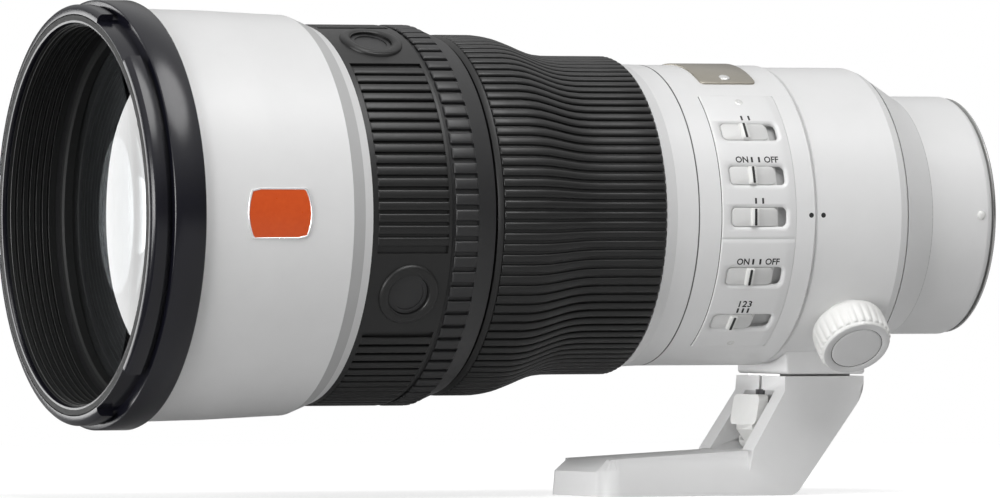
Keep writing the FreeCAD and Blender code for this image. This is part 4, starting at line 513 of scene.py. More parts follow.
def ribCap(first, last, radius, half, rise, edge):
    # one rounded bar along the barrel; half is half its width in degrees, edge the length of its soft ends
    bm = bmesh.new()
    section = [(-1.0, -0.5), (-0.97, 0.0), (-0.84, 0.65), (-0.6, 1.0),
               (0.6, 1.0), (0.84, 0.65), (0.97, 0.0), (1.0, -0.5)]
    rows = []
    for x, lift in ((first, 0.1), (first + 0.35 * edge, 0.75), (first + edge, 1.0), (last - edge, 1.0),
                    (last - 0.35 * edge, 0.75), (last, 0.1)):
        rows.append([bm.verts.new(around(x, radius + (rise * up * lift if up > 0 else up), half * side))
                     for side, up in section])
    lofted(bm, rows)
    return bm


holdGrip = {"radius": 55.4, "front": -208.0, "rear": -185.8, "ribs": 17, "padHalf": 13.0, "pitch": 32 / 9,
            "firstPad": 65.5, "pads": 4, "rise": 0.3, "share": 0.37, "edge": 0.7}
bm = ribCap(holdGrip["front"], holdGrip["rear"], holdGrip["radius"], holdGrip["pitch"] * holdGrip["share"],
            holdGrip["rise"], holdGrip["edge"])
gripRibs = addPiece("gripRibs", bm, gripRubber, "barrel", smooth=50)
firstRib = holdGrip["firstPad"] + holdGrip["padHalf"] + holdGrip["pitch"]
repeated(gripRibs, holdGrip["ribs"], firstRib, holdGrip["pitch"])
repeated(gripRibs, holdGrip["pads"], 0.0, 360 / holdGrip["pads"])

teeth = {"radius": 55.4, "front": -183.7, "rear": -176.5, "count": 76, "rise": 0.35, "share": 0.36, "edge": 0.6}
toothPitch = 360 / teeth["count"]
bm = ribCap(teeth["front"], teeth["rear"], teeth["radius"], toothPitch * teeth["share"], teeth["rise"],
            teeth["edge"])
toothCaps = addPiece("toothCaps", bm, blackNylon, "function_ring", smooth=50)
repeated(toothCaps, teeth["count"], 0.0, toothPitch)
print("ribs and teeth capped")


# hold buttons: a soft moulded ridge round each flat disc

holdButtons = {"inner": 6.2, "outer": 9.3, "rise": 1.15, "sunk": 0.12, "angle": 65.5, "count": 4,
               "stepsAround": 60, "stepsAcross": 8}
# the grip is as wide as the toothed ring beside it
gripRadius = nodeBox("function_ring")[1].z
low, high = nodeBox("hold_button_1")
place = wrapped((low.x + high.x) / 2, holdButtons["angle"], gripRadius)
middle = (holdButtons["inner"] + holdButtons["outer"]) / 2
half = (holdButtons["outer"] - holdButtons["inner"]) / 2
bm = bmesh.new()
rows = []
for k in range(holdButtons["stepsAround"]):
    turn = math.radians(360 / holdButtons["stepsAround"] * k)
    row = []
    for j in range(holdButtons["stepsAcross"] + 1):
        tilt = math.pi * j / holdButtons["stepsAcross"]
        out = middle + half * math.cos(tilt)
        height = holdButtons["rise"] * math.sin(tilt) ** 0.8 - holdButtons["sunk"]
        row.append(bm.verts.new(place(Vector((out * math.cos(turn), out * math.sin(turn), height)))))
    rows.append(row)
lofted(bm, rows + rows[:1], caps=False)
ridges = addPiece("buttonRidges", bm, gripRubber, "barrel", smooth=70)
repeated(ridges, holdButtons["count"], 0.0, 360 / holdButtons["count"])
print("button ridges moulded")


# badge plate: plain enamelled plate in a bright frame, on the side of the front barrel

badge = {"x": -240.5, "angle": 0.5, "long": 20.2, "tall": 14.6, "bulge": 1.3, "cut": 0.6, "frame": 0.45,
         "rise": 0.3, "barrel": 59.5, "lean": 0.02}


def badgeOutline(shrink):
    # two bulging ends, straight long edges and cut corners, counter-clockwise
    halfLong, halfTall = badge["long"] / 2 - shrink, badge["tall"] / 2 - shrink
    corner = halfLong - badge["bulge"] - badge["cut"]
    points = []
    for side in (1, -1):
        for k in range(9):
            share = k / 4 - 1
            points.append((side * (halfLong - badge["bulge"] * share * share),
                           side * share * (halfTall - badge["cut"])))
        for k in range(8):
            points.append((side * corner * (1 - k / 4), side * halfTall))
    return points


onBarrel = wrapped(badge["x"], badge["angle"], badge["barrel"], badge["lean"])
outer, inner = badgeOutline(0), badgeOutline(badge["frame"])
rise = badge["rise"]
bm = bmesh.new()
wall = stacked(bm, outer, [(0, -0.4), (0, rise - 0.1), (-0.1, rise)], caps=False)
lip = stacked(bm, inner, [(0, rise - 0.4), (0, rise - 0.1), (0.1, rise)], caps=False)
bridged(bm, wall[-1], lip[-1])
bridged(bm, wall[0], lip[0])
bend(bm, onBarrel, 1.5)
addPiece("badgeFrame", bm, polishedFrame, "barrel")
bm = bmesh.new()
stacked(bm, inner, [(0.1, -0.4), (0.1, rise - 0.14)])
bend(bm, onBarrel, 1.0)
addPiece("badgeFace", bm, orangeEnamel, "barrel")
print("badge set")


# switch panel: raised skin with dished slots, slides with a thumb rib, marks beside them

panel = {"radius": 44.8, "thick": 1.3, "lowAngle": -60.0, "highAngle": 52.0, "corner": 0.5, "slotWide": 5.8,
         "slotCorner": 1.5, "slotPlay": 0.2, "dish": 0.85, "groove": -9.0}
# what every slide shares, and each slide's angle and travel
slide = {"wide": 5.5, "corner": 1.4, "margin": 1, "sink": 0.35, "ribWide": 2.6, "ribRise": 0.95, "lineWide": 0.8,
         "flange": 0.9, "flangeOut": 0.8, "play": 0.25}
switches = [("switch_slide_1", 33.4, 3.1), ("switch_slide_2", 15.2, 3.1), ("switch_slide_3", -0.7, 3.1),
            ("switch_slide_4", -23.8, 3.1), ("switch_slide_5", -44.7, 6.0)]
low, high = nodeBox("switch_panel")
panelX, panelLong = (low.x + high.x) / 2, high.x - low.x
arc = math.radians(panel["highAngle"] - panel["lowAngle"]) * panel["radius"]
centreAngle = (panel["highAngle"] + panel["lowAngle"]) / 2
onPanel = wrapped(panelX, centreAngle, panel["radius"])


def panelV(angle):
    return math.radians(angle - centreAngle) * panel["radius"]


bm = bmesh.new()
stacked(bm, roundedBox(panelLong, arc, panel["corner"], 8),
        [(0, -panel["thick"]), (0, -0.3), (-0.06, -0.12), (-0.2, -0.02), (-0.35, 0)])
skin = asObject("switchPanelSkin", bm)
# the cutters: a slot with a dished rim for each slide, and the groove across the panel
cutters = bmesh.new()
dish = panel["dish"]
for name, angle, travel in switches:
    low, high = nodeBox(name)
    face = high.x - low.x - 2 * slide["margin"]
    long = face + travel + panel["slotPlay"]
    middleX = low.x + slide["margin"] + (face + travel) / 2 - panelX
    stacked(cutters, roundedBox(long, panel["slotWide"], panel["slotCorner"], 6, middleX, panelV(angle)),
            [(0, -3), (0, -0.62), (0.1 * dish, -0.45), (0.45 * dish, -0.22), (0.85 * dish, -0.06), (dish, 0.0),
             (dish + 0.3, 0.04), (dish + 0.3, 1)])
line = panelV(panel["groove"])
halfLong = panelLong / 2 + 1
groove = [(line - 0.35, 0.001), (line - 0.1, -0.22), (line + 0.1, -0.22), (line + 0.35, 0.001), (line, 1)]
lofted(cutters, [[cutters.verts.new((side * halfLong, v, height)) for v, height in groove] for side in (-1, 1)])
bmesh.ops.recalc_face_normals(cutters, faces=cutters.faces)
cutter = asObject("slotCutters", cutters)
modifier = skin.modifiers.new("slots", "BOOLEAN")
modifier.operation = "DIFFERENCE"
modifier.solver = "EXACT"
modifier.object = cutter
cut = evaluated(skin)
bpy.data.objects.remove(skin)
bpy.data.objects.remove(cutter)
bm = bmesh.new()
bm.from_mesh(cut)
# the skin's outer face sinks softly into the barrel along its rear edge
softEdge = {"wide": 3.2, "drop": 0.36}
edgeFrom = panelLong / 2 - softEdge["wide"]
for part in (0, 0.25, 0.5, 0.75):
    bmesh.ops.bisect_plane(bm, geom=bm.verts[:] + bm.edges[:] + bm.faces[:],
                           plane_co=(edgeFrom + softEdge["wide"] * part, 0, 0), plane_no=(1, 0, 0))
for vert in bm.verts:
    share = max(0.0, (vert.co.x - edgeFrom) / softEdge["wide"])
    depth = max(0.0, 1 + vert.co.z / panel["thick"])
    vert.co.z -= softEdge["drop"] * depth * share * share * (3 - 2 * min(1.0, share))
bend(bm, onPanel, 1.2)
panelSkin = addPiece("switchPanelSkin", bm, whiteEnamel, "barrel", smooth=50)
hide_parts("switch_panel")

for name, angle, travel in switches:
    low, high = nodeBox(name)
    face = high.x - low.x - 2 * slide["margin"]
    middleX = (low.x + high.x) / 2
    onSlide = upright(middleX, angle, panel["radius"] - slide["sink"])
    bottom = -(panel["thick"] + slide["flange"] - slide["sink"] + slide["play"])
    out = slide["flangeOut"]
    bm = bmesh.new()
    stacked(bm, roundedBox(face + 2 * out, slide["wide"] + 2 * out, out),
            [(0, bottom), (0, bottom + slide["flange"])])
    stacked(bm, roundedBox(face, slide["wide"], slide["corner"]),
            [(0, bottom + 0.4), (0, -0.25), (-0.08, -0.08), (-0.25, 0)])
    bend(bm, onSlide)
    number = name[-1]
    cap = addPiece("slideCap" + number, bm, slidePlastic, name, smooth=50)
    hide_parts(name)
    bm = bmesh.new()
    rise = slide["ribRise"]
    stacked(bm, roundedBox(slide["lineWide"], slide["wide"] - 0.5, 0.2, 3), [(0, rise - 0.2), (0, rise + 0.02)])
    bend(bm, onSlide)
    addPiece("slideLine" + number, bm, markInk, name)
    # the thumb rib is made whiter than its slide: a painted highlight on the rib
    bm = bmesh.new()
    stacked(bm, roundedBox(slide["ribWide"], slide["wide"] - 0.1, 0.45),
            [(0, -0.4), (0, 0.1), (-0.1, rise - 0.3), (-0.22, rise - 0.08), (-0.45, rise)])
    bend(bm, onSlide)
    addPiece("slideRib" + number, bm, brightPlasticAndRibHighlight, name, smooth=50)
print("switches set")

# grey floors under the slots, just below the slides' flanges: painted shade of the slots' white inside
slotFloor = {"shorter": 0.6, "wider": 0.6, "below": 0.28, "thick": 0.01}
floorRadius = panel["radius"] - panel["thick"] - slide["flange"] - slotFloor["below"]
bm = bmesh.new()
for name, angle, travel in switches:
    low, high = nodeBox(name)
    long = high.x - low.x + travel - slotFloor["shorter"]
    part = bmesh.new()
    stacked(part, roundedBox(long, slide["wide"] + slotFloor["wider"], 0.8), [(0, 0), (0, slotFloor["thick"])])
    bend(part, upright((low.x + high.x + travel) / 2, angle, floorRadius))
    joined(bm, part)
addPiece("slotFloors", bm, slotPaintedShade, "barrel")


# index bars and plain switch lettering

# capital height as a share of the type size, how much bolder the strokes are, thickness, width of the strips
lettering = {"capitals": 0.72, "bolder": 0.03, "thick": 0.02, "strip": 0.4}


def letters(bm, text, tall, place):
    # flat text, made a mesh and cut in strips before it is placed
    curve = bpy.data.curves.new("text", "FONT")
    curve.body = text
    curve.size = tall / lettering["capitals"]
    curve.align_x = "CENTER"
    curve.offset = lettering["bolder"] * tall
    curve.resolution_u = 3
    holder = bpy.data.objects.new("text", curve)
    link(holder)
    mesh = evaluated(holder)
    bpy.data.objects.remove(holder)
    part = bmesh.new()
    part.from_mesh(mesh)
    bmesh.ops.remove_doubles(part, verts=part.verts, dist=0.001)
    walls = bmesh.ops.extrude_face_region(part, geom=part.faces[:])
    for vert in walls["geom"]:
        if isinstance(vert, bmesh.types.BMVert):
            vert.co.z += lettering["thick"]
    bend(part, place, lettering["strip"])
    joined(bm, part)


# lengths in mm, lifts and drops in degrees round the barrel
marks = {"barLong": 1.7, "barWide": 0.62, "shift": 0.3, "gap": 2.3, "tripleGap": 0.72, "above": 4.75,
         "rise": 0.01, "digitTall": 2.2, "digitLift": 1.75, "wordTall": 1.9, "wordDrop": 1.1, "onBefore": 3.2,
         "offAfter": 3.9}
markRadius = panel["radius"] + marks["rise"]
bars = bmesh.new()
words = bmesh.new()
for name, angle, travel in switches:
    low, high = nodeBox(name)
    x = (low.x + high.x) / 2 + marks["shift"]
    triple = travel > 5
    gap = marks["gap"] * (marks["tripleGap"] if triple else 1)
    barAngle = angle + math.degrees(marks["above"] / panel["radius"])
    for k in range(3 if triple else 2):
        part = bmesh.new()
        stacked(part, roundedBox(marks["barWide"], marks["barLong"], 0.05, 1), [(0, 0), (0, 0.02)])
        bend(part, wrapped(x + gap * k, barAngle, markRadius), 0.6)
        joined(bars, part)
        if triple:
            letters(words, str(k + 1), marks["digitTall"],
                    wrapped(x + gap * k, barAngle + marks["digitLift"], markRadius))
    if name in ("switch_slide_2", "switch_slide_4"):
        wordAngle = barAngle - marks["wordDrop"]
        letters(words, "ON", marks["wordTall"], wrapped(x - marks["onBefore"], wordAngle, markRadius))
        letters(words, "OFF", marks["wordTall"], wrapped(x + gap + marks["offAfter"], wordAngle, markRadius))
addPiece("indexBars", bars, markInk, "barrel")
addPiece("switchLettering", words, markInk, "barrel", smooth=20)
print("marks printed")


# screws: pan heads with a cross recess, copied by nodes

# steps round the rim; half length, half width and depth of the cross as shares of the radius; its inner
# corners as a multiple of the half width; its floor as a share of its size
head = {"steps": 32, "arm": 0.5, "slot": 0.13, "inner": 1.414, "deep": 0.35, "floor": 0.8}


def crossHead(radius, tall):
    # head with a rounded rim and a cross sunk into it
    bm = bmesh.new()
    loops = stacked(bm, disc(radius, head["steps"]),
                    [(0, -0.3), (0, tall * 0.5), (-0.12 * radius, tall * 0.9), (-0.3 * radius, tall)], caps=False)
    arm, slot = radius * head["arm"], radius * head["slot"]
    quarter = head["steps"] // 4
    cross = []
    for k in range(head["steps"]):
        if (k + 1) % quarter < 3:
            # the three points at the end of an arm
            turn = round(k / quarter) * math.pi / 2
            side = slot * ((k + 1) % quarter - 1)
            cross.append((arm * math.cos(turn) - side * math.sin(turn),
                          arm * math.sin(turn) + side * math.cos(turn)))
        else:
            turn = (k // quarter + 0.5) * math.pi / 2
            inner = slot * head["inner"]
            cross.append((inner * math.cos(turn), inner * math.sin(turn)))
    upper = [bm.verts.new((u, v, tall)) for u, v in cross]
    lower = [bm.verts.new((u * head["floor"], v * head["floor"], tall - head["deep"] * radius)) for u, v in cross]
    bridged(bm, loops[-1], upper)
    bridged(bm, upper, lower)
    bm.faces.new(lower)
    bm.faces.new(loops[0])
    return bm


panelScrews = {"count": 2, "angle": 47.9, "turn": -104.9, "radius": 1.3, "tall": 0.25, "base": 44.6}
bm = crossHead(panelScrews["radius"], panelScrews["tall"])
bend(bm, upright(panelX, panelScrews["angle"], panelScrews["base"]))
heads = addPiece("panelScrewHeads", bm, paleScrew, "barrel")
repeated(heads, panelScrews["count"], 0.0, panelScrews["turn"])
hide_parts("panel_screws")

mountScrews = {"count": 4, "radius": 1.9, "tall": 0.5, "pitch": 27.2, "face": -0.05, "first": 45.0}
bm = crossHead(mountScrews["radius"], mountScrews["tall"])
for vert in bm.verts:
    u, v, height = vert.co
    x = mountScrews["face"] - mountScrews["tall"] + height
    vert.co = around(x, mountScrews["pitch"] + u, 0) + Vector((0, 0, v))
mountHeads = addPiece("mountScrewHeads", bm, stainless, "barrel")
repeated(mountHeads, mountScrews["count"], mountScrews["first"], 360 / mountScrews["count"])
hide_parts("mount_screws")
print("screws copied")


# top plate: champagne anodised, rounded corners, a stud near each long edge

topPlate = {"angle": 90.0, "sweep": 60.0, "radius": 44.4, "thick": 0.5, "corner": 1.6, "studs": (64.5, 115.5)}
low, high = nodeBox("top_plate")
plateX = (low.x + high.x) / 2
arc = math.radians(topPlate["sweep"]) * topPlate["radius"]
thick = topPlate["thick"]
bm = bmesh.new()
stacked(bm, roundedBox(high.x - low.x, arc, topPlate["corner"], 6),
        [(0, -0.3), (0, thick - 0.18), (-0.06, thick - 0.05), (-0.2, thick)])
bend(bm, wrapped(plateX, topPlate["angle"], topPlate["radius"]), 1.2)
plateSkin = addPiece("topPlateSkin", bm, champagnePlate, "barrel", smooth=50)
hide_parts("top_plate")
bm = bmesh.new()
for angle in topPlate["studs"]:
    spun(bm, [(1.7, -0.2), (1.7, 0.08), (1.35, 0.3), (0.8, 0.42), (0.3, 0.46)],
         upright(plateX, angle, topPlate["radius"] + thick), 24)
addPiece("plateStuds", bm, paleScrew, "barrel", smooth=70)
print("top plate laid")


# lock knob: scalloped side, rounded shoulder, grey cap in a dark line, the grey a painted shade on the knob's
# white

knob = {"x": -48.0, "angle": -45.0, "radius": 11.0, "foot": 45.4, "top": 55.5, "cap": 7.7,
        "scallops": 28, "stepsEach": 8, "deep": 0.5, "capSteps": 72}
onKnob = upright(knob["x"], knob["angle"], 0)
radius, foot, top, cap = knob["radius"], knob["foot"], knob["top"], knob["cap"]


def ripple(k):
    # how far a point of the side is sunk: one narrow scallop every few steps round the knob
    return -knob["deep"] * (0.5 + 0.5 * math.cos(2 * math.pi * k / knob["stepsEach"])) ** 2.5


bm = bmesh.new()
spun(bm, [(7.6, 42.0), (8.4, foot - 0.6), (9.8, foot - 0.2), (10.6, foot + 0.5), (10.95, foot + 1.6, 0.1),
          (11.1, foot + 3.4, 0.3), (11.05, top - 3.6, 0.7), (radius, top - 2.2, 1),
          (radius - 0.05, top - 1.55, 1.1), (radius - 0.25, top - 1.25, 1), (radius - 0.62, top - 1.1, 0.2),
          (radius - 0.68, top - 0.5), (radius - 0.8, top - 0.2), (radius - 1.0, top - 0.1),
          (cap + 0.45, top - 0.1), (cap + 0.2, top - 0.35)],
     onKnob, knob["scallops"] * knob["stepsEach"], ripple)
knobShell = addPiece("knobShell", bm, brightPlasticAndRibHighlight, "lock_knob", smooth=60)
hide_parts("lock_knob")
# the cap and its rim are painted grey: painted shade on the knob's white top
capParts = {
    "knobCapRim": (capPaintedShade, [(radius - 0.95, top - 0.6), (radius - 0.95, top - 0.02), (radius - 1.1, top),
                                (cap + 0.35, top), (cap + 0.2, top - 0.12), (cap + 0.2, top - 0.6)]),
    "knobCap": (capPaintedShade, [(cap, top - 0.7), (cap, top - 0.2), (cap - 0.25, top - 0.03), (cap - 0.6, top)]),
    "knobCapLine": (markInk, [(cap + 0.3, top - 0.7), (cap + 0.3, top - 0.3)]),
}
for name, (finish, profile) in capParts.items():
    bm = bmesh.new()
    spun(bm, profile, onKnob, knob["capSteps"])
    addPiece(name, bm, finish, "lock_knob")
print("knob turned")


# index dots at the collar seam, the mounting bead and fine seam lines

dots = {"radius": 0.75, "barrelDot": (-65.2, 44.4, "barrel"), "collarDot": (-61.0, 43.8, "tripod_collar")}
for name in ("barrelDot", "collarDot"):
    x, radius, body = dots[name]
    bm = bmesh.new()
    stacked(bm, disc(dots["radius"], 24), [(0, -0.1), (0, 0.015), (-0.1, 0.03)])
    bend(bm, wrapped(x, 0.0, radius), 0.5)
    addPiece(name, bm, markInk, body)
mountBead = {"x": -5.3, "radius": 35.4}
bm = bmesh.new()
spun(bm, [(1.35, -0.3), (1.35, 0.1), (1.2, 0.35), (0.85, 0.55), (0.4, 0.66), (0.1, 0.68)],
     upright(mountBead["x"], 0.0, mountBead["radius"]), 32)
addPiece("mountBead", bm, brightPlasticAndRibHighlight, "barrel", smooth=80)

# each line: name, station, width, first angle and sweep
seam = {"radius": 44.4, "sunk": 0.3, "proud": 0.012,
        "lines": [("ringSeam", -101.3, 0.2, 0, 360), ("panelSeam", -94.13, 0.24, -59.5, 111)]}
inner, outer = seam["radius"] - seam["sunk"], seam["radius"] + seam["proud"]
for name, x, wide, start, sweep in seam["lines"]:
    front, rear = x - wide / 2, x + wide / 2
    bm = turned([(front, inner), (front, outer), (rear, outer), (rear, inner)], 180, start, sweep)
    addPiece(name, bm, seamGrey, "barrel")

# plain rings: finish, slot and outline as (station, radius)
plainRings = {
    "collarSeal": (acetal, "liner_plastic", [(-33.1, 41.0), (-33.1, 42.2), (-32.82, 42.2), (-32.82, 41.0)]),
    "mountTrim": (chromedBrass, "mount_metal", [(-0.9, 33.2), (-0.9, 34.9), (-0.5, 34.9), (-0.1, 34.5),
                                                (0.0, 34.1), (0.0, 33.2)]),
}
for name, (finish, slot, outline) in plainRings.items():
    bm = turned(outline, 180)
    addPiece(name, bm, finish, "barrel")
print("small marks set")


# front ring: black anodised hood bayonet with broken edges that catch the light

hood = {"front": -280.6, "lipRear": -275.7, "bandFront": -274.1, "bandRear": -264.0, "opening": 55.5,
        "bore": 57.2, "gapFloor": 58.6, "groove": 59.3, "lip": 61.0, "band": 62.35, "gapAngle": 23.0, "lands": 3,
        "steps": 288, "landSteps": 96}
front, lipRear, bandFront, bandRear = hood["front"], hood["lipRear"], hood["bandFront"], hood["bandRear"]
opening, bore, gapFloor = hood["opening"], hood["bore"], hood["gapFloor"]
groove, lip, band = hood["groove"], hood["lip"], hood["band"]
bm = turned([(front + 0.7, opening), (front + 0.15, opening + 0.25), (front + 0.05, opening + 0.8),
             (front + 0.05, gapFloor - 0.35), (front + 0.15, gapFloor - 0.1), (front + 0.4, gapFloor),
             (bandFront, gapFloor), (bandFront, band - 0.5), (bandFront + 0.12, band - 0.2),
             (bandFront + 0.4, band), (bandRear - 0.9, band), (bandRear - 0.35, band - 0.25),
             (bandRear, band - 1.1), (bandRear, bore), (front + 1.6, bore), (front + 1.6, opening)], hood["steps"])
hoodRing = addPiece("hoodRing", bm, blackAnodised, "barrel", smooth=45)
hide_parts("front_ring")
bm = turned([(front + 0.3, opening + 0.85), (front, opening + 0.85), (front, gapFloor - 0.4),
             (front + 0.3, gapFloor - 0.4)], hood["steps"])
addPiece("hoodFace", bm, mattBlack, "barrel", smooth=45)
sweep = 360 / hood["lands"] - hood["gapAngle"]
bm = turned([(front, gapFloor - 0.7), (front, gapFloor + 0.9), (front + 0.5, lip - 0.6), (front + 1.1, lip - 0.12),
             (front + 1.4, lip), (lipRear - 0.35, lip), (lipRear - 0.1, lip - 0.1), (lipRear, lip - 0.35),
             (lipRear, groove), (bandFront + 0.01, groove), (bandFront + 0.01, gapFloor - 0.7)],
            hood["landSteps"], -sweep / 2, sweep)
lands = addPiece("hoodLands", bm, blackAnodised, "barrel", smooth=45)
repeated(lands, hood["lands"], 0.0, 360 / hood["lands"])
# the baffle's ridges end in fine crests, coloured lighter grey as a painted highlight
crests = {"first": -278.1, "pitch": 2.0, "count": 7, "radius": 55.15, "wide": 0.16, "deep": 0.3, "tip": 0.06}
x, radius, half = crests["first"], crests["radius"], crests["wide"] / 2
bm = turned([(x - half, radius + crests["deep"]), (x - half, radius), (x, radius - crests["tip"]),
             (x + half, radius), (x + half, radius + crests["deep"])], 240)
ridgeCrests = addPiece("ridgeCrests", bm, crestPaintedHighlight, "barrel", smooth=70)
repeated(ridgeCrests, crests["count"], 0.0, 0.0, (crests["pitch"] * mm, 0.0, 0.0))
print("front ring turned")


# front glasses: finer surfaces of revolution, because the coarse rings of the solids show in a reflection

glasses = {
    "frontGlass": {"node": "front_element", "edge": 53.9, "front": -267.113, "frontBend": 190.0,
                   "rear": -254.113, "rearBend": 700.0, "rings": 24},
    "secondGlass": {"node": "second_element", "edge": 50.0, "front": -246.979, "frontBend": 150.0,
                    "rear": -231.979, "rearBend": 420.0, "rings": 24},
}


def sag(curve, radius):
    # how far a surface with this radius of curvature has fallen back at a distance from the axis
    return curve - math.sqrt(curve * curve - radius * radius)


for name, glass in glasses.items():
    radii = [glass["edge"] * k / glass["rings"] for k in range(glass["rings"] + 1)]
    bm = turned([(glass["front"] + sag(glass["frontBend"], radius), radius) for radius in radii]
                + [(glass["rear"] - sag(glass["rearBend"], radius), radius) for radius in reversed(radii)])
    bmesh.ops.remove_doubles(bm, verts=bm.verts, dist=0.001)
    bmesh.ops.delete(bm, geom=[edge for edge in bm.edges if not edge.link_faces], context="EDGES")
    glassPiece = addPiece(name, bm, coatedGlass, "barrel", smooth=30)
    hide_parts(glass["node"])
print("front glasses turned")


# foot, its base block and its lever: cast shapes with rounded edges

# each one: piece, body and finish; edge radius, shortest edge rounded and narrowing towards the top; scale
# across, shift, lean over the height and stretch over the length
castShapes = {
    "foot": ("footSkin", "foot", whiteEnamel, (0.9, 4.0, 0.17), (1.0, 0.0, 1.7, 0.0)),
    "collar_base": ("baseSkin", "tripod_collar", whiteEnamel, (0.9, 4.0, 0.0), (0.84, 0.5, 0.0, 1.6)),
    "foot_lock_lever": ("leverSkin", "foot_lock_lever", brightPlasticAndRibHighlight, (0.8, 3.0, 0.0), (1.0, 0.0, 0.0, 0.0)),
}
for name, (pieceName, body, finish, softness, (across, shift, lean, stretch)) in castShapes.items():
    low, high = nodeBox(name)
    bm = softened(name, *softness, low.z, high.z)
    for vert in bm.verts:
        up = (vert.co.z - low.z) / (high.z - low.z)
        along = (vert.co.x - low.x) / (high.x - low.x)
        vert.co.y *= across
        vert.co.x += shift + lean * up + stretch * along
    piece = addPiece(pieceName, bm, finish, body, smooth=45, weighted=True)
    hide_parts(name)
print("foot softened")


# thin coats painted greyer on the chamfer behind the front barrel and on the rear cone: painted shade of faces
# that turn away from the light

paintedShadeCoats = {"proud": 0.03, "sunk": 0.3,
             "stretches": [("barrelChamferSkin", "front_barrel", [-217.0, -212.7], 50),
                           ("coneSkin", "rear_barrel", [-32.7, -21.2], 33)]}
for name, source, stations, least in paintedShadeCoats["stretches"]:
    radii = outerRadius(source, stations, least)
    outline = [(x, radius + paintedShadeCoats["proud"]) for x, radius in zip(stations, radii)]
    outline += [(x, radius - paintedShadeCoats["sunk"]) for x, radius in zip(reversed(stations), reversed(radii))]
    bm = turned(outline, 180)
    addPiece(name, bm, paintedShadeEnamel, "barrel")
print("grey coats laid")


# camera, light and floor

view = {"aimX": -145.4, "azimuth": 23.9, "distance": 3526.0, "lens": 432.0, "shift": -0.0338}
azimuth = math.radians(view["azimuth"])
looking = Vector((math.sin(azimuth), math.cos(azimuth), 0))
camera = bpy.data.objects.new("camera", bpy.data.cameras.new("camera"))
camera.location = Vector((view["aimX"], 0, 0)) * mm - looking * view["distance"] * mm
camera.rotation_euler = looking.to_track_quat("-Z", "Y").to_euler()
camera.data.lens = view["lens"]
camera.data.sensor_width = 36
camera.data.shift_y = view["shift"]
camera.data.clip_start = 0.05
camera.data.clip_end = 50
link(camera)
bpy.context.scene.camera = camera

# name: watts, size, place in metres, point it shines at
lamps = {
    "topLamp": (17.2, 1.2, (-0.02, -0.72, 1.4), (-0.12, 0, 0)),
    "sideLamp": (26.0, 1.0, (-2.3, -1.2, 0.25), (-0.12, 0, -0.02)),
    "frontLamp": (15.0, 0.9, (-2.1, -0.3, 0.05), (-0.12, 0, -0.05)),
    "mirrorLamp": (11.0, 1.0, (-1.25, 1.55, 0.0), (-0.27, 0, 0)),
}
for name, (power, size, place, target) in lamps.items():
    lamp = bpy.data.lights.new(name, "AREA")
    lamp.energy = power
    lamp.shape = "DISK"
    lamp.size = size
    holder = bpy.data.objects.new(name, lamp)
    holder.location = place
    holder.rotation_euler = (Vector(target) - Vector(place)).to_track_quat("-Z", "Y").to_euler()
    link(holder)


def seenDirectly(tree):
    # the light path, and 1 for what the camera sees at once or through the glass
    path = addNode(tree, "ShaderNodeLightPath").outputs
    return path, addNode(tree, "ShaderNodeMath", {0: path["Is Camera Ray"], 1: path["Is Transmission Ray"]},
                         operation="MAXIMUM").outputs[0]


# white where the camera or glass looks at it, a dim studio with a bright ceiling elsewhere
studio = {"dimWall": 0.06, "dimCeiling": 0.3, "shineWall": 0.12, "shineCeiling": 0.8}
world = bpy.data.worlds.new("studio")
world.use_nodes = True
bpy.context.scene.world = world
tree = world.node_tree
tree.nodes.clear()
path, seen = seenDirectly(tree)
direction = addNode(tree, "ShaderNodeTexCoord").outputs["Generated"]
height = addNode(tree, "ShaderNodeSeparateXYZ", {0: direction}).outputs["Z"]
lift = addNode(tree, "ShaderNodeMapRange", {"Value": height, "From Min": 0.0, "From Max": 0.75},
               interpolation_type="SMOOTHSTEP").outputs[0]
dim, shine = (addNode(tree, "ShaderNodeMix", {"Factor": lift, 2: studio[kind + "Wall"],
                                              3: studio[kind + "Ceiling"]}).outputs[0]
              for kind in ("dim", "shine"))
shade = addNode(tree, "ShaderNodeMix", {"Factor": path["Is Glossy Ray"], 2: dim, 3: shine}).outputs[0]
level = addNode(tree, "ShaderNodeMix", {"Factor": seen, 2: shade, 3: 1.0}).outputs[0]
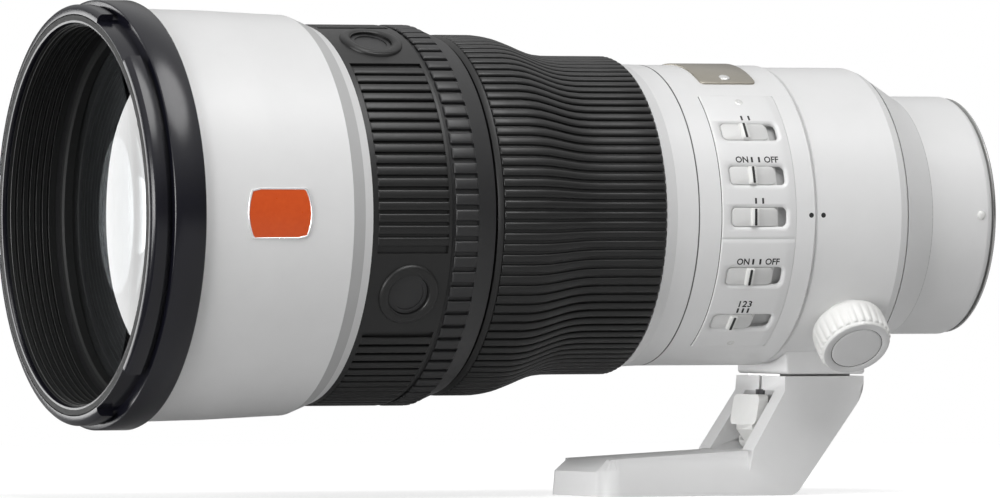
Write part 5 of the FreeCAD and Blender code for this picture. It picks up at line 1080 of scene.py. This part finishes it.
sky = addNode(tree, "ShaderNodeBackground", {"Color": (1, 1, 1, 1), "Strength": level})
addNode(tree, "ShaderNodeOutputWorld", {"Surface": sky.outputs[0]})

# pale paper floor that runs out into the white backdrop
floorPaper = {"reach": 3.0, "edge": -0.34, "colour": "C8C8C8", "lift": 0.72, "plainFrom": 0.3, "plainTo": 0.8}
floorHeight = min(corner[2] for corner in cadBox)
floorMesh = bpy.data.meshes.new("floor")
reach = floorPaper["reach"]
edge = floorPaper["edge"]
floorMesh.from_pydata([(x, y * reach, floorHeight) for x, y in ((edge, -1), (reach, -1), (reach, 1), (edge, 1))],
                      [], [(0, 1, 2, 3)])
floor = bpy.data.objects.new("floor", floorMesh)
link(floor)
paperFinish = bpy.data.materials.new("paper")
paperFinish.use_nodes = True
tree = paperFinish.node_tree
tree.nodes.clear()
paper = addNode(tree, "ShaderNodeBsdfDiffuse", {"Color": hexColour(floorPaper["colour"])}).outputs[0]
seen = seenDirectly(tree)[1]
glow = addNode(tree, "ShaderNodeEmission", {"Color": (1, 1, 1, 1), "Strength": floorPaper["lift"]}).outputs[0]
lit = addNode(tree, "ShaderNodeAddShader", {0: paper, 1: glow}).outputs[0]
white = addNode(tree, "ShaderNodeEmission", {"Color": (1, 1, 1, 1), "Strength": 1.0}).outputs[0]
spot = addNode(tree, "ShaderNodeTexCoord").outputs["Object"]
away = addNode(tree, "ShaderNodeVectorMath", {0: spot}, operation="LENGTH").outputs["Value"]
fade = addNode(tree, "ShaderNodeMapRange", {"Value": away, "From Min": floorPaper["plainFrom"],
                                            "From Max": floorPaper["plainTo"]},
               interpolation_type="SMOOTHSTEP").outputs[0]
faded = addNode(tree, "ShaderNodeMixShader", {0: fade, 1: lit, 2: white}).outputs[0]
shown = addNode(tree, "ShaderNodeMixShader", {0: seen, 1: paper, 2: faded}).outputs[0]
addNode(tree, "ShaderNodeOutputMaterial", {"Surface": shown})
floorMesh.materials.append(paperFinish)

bpy.context.scene.view_settings.view_transform = "Standard"
print("camera, lamps and floor placed")
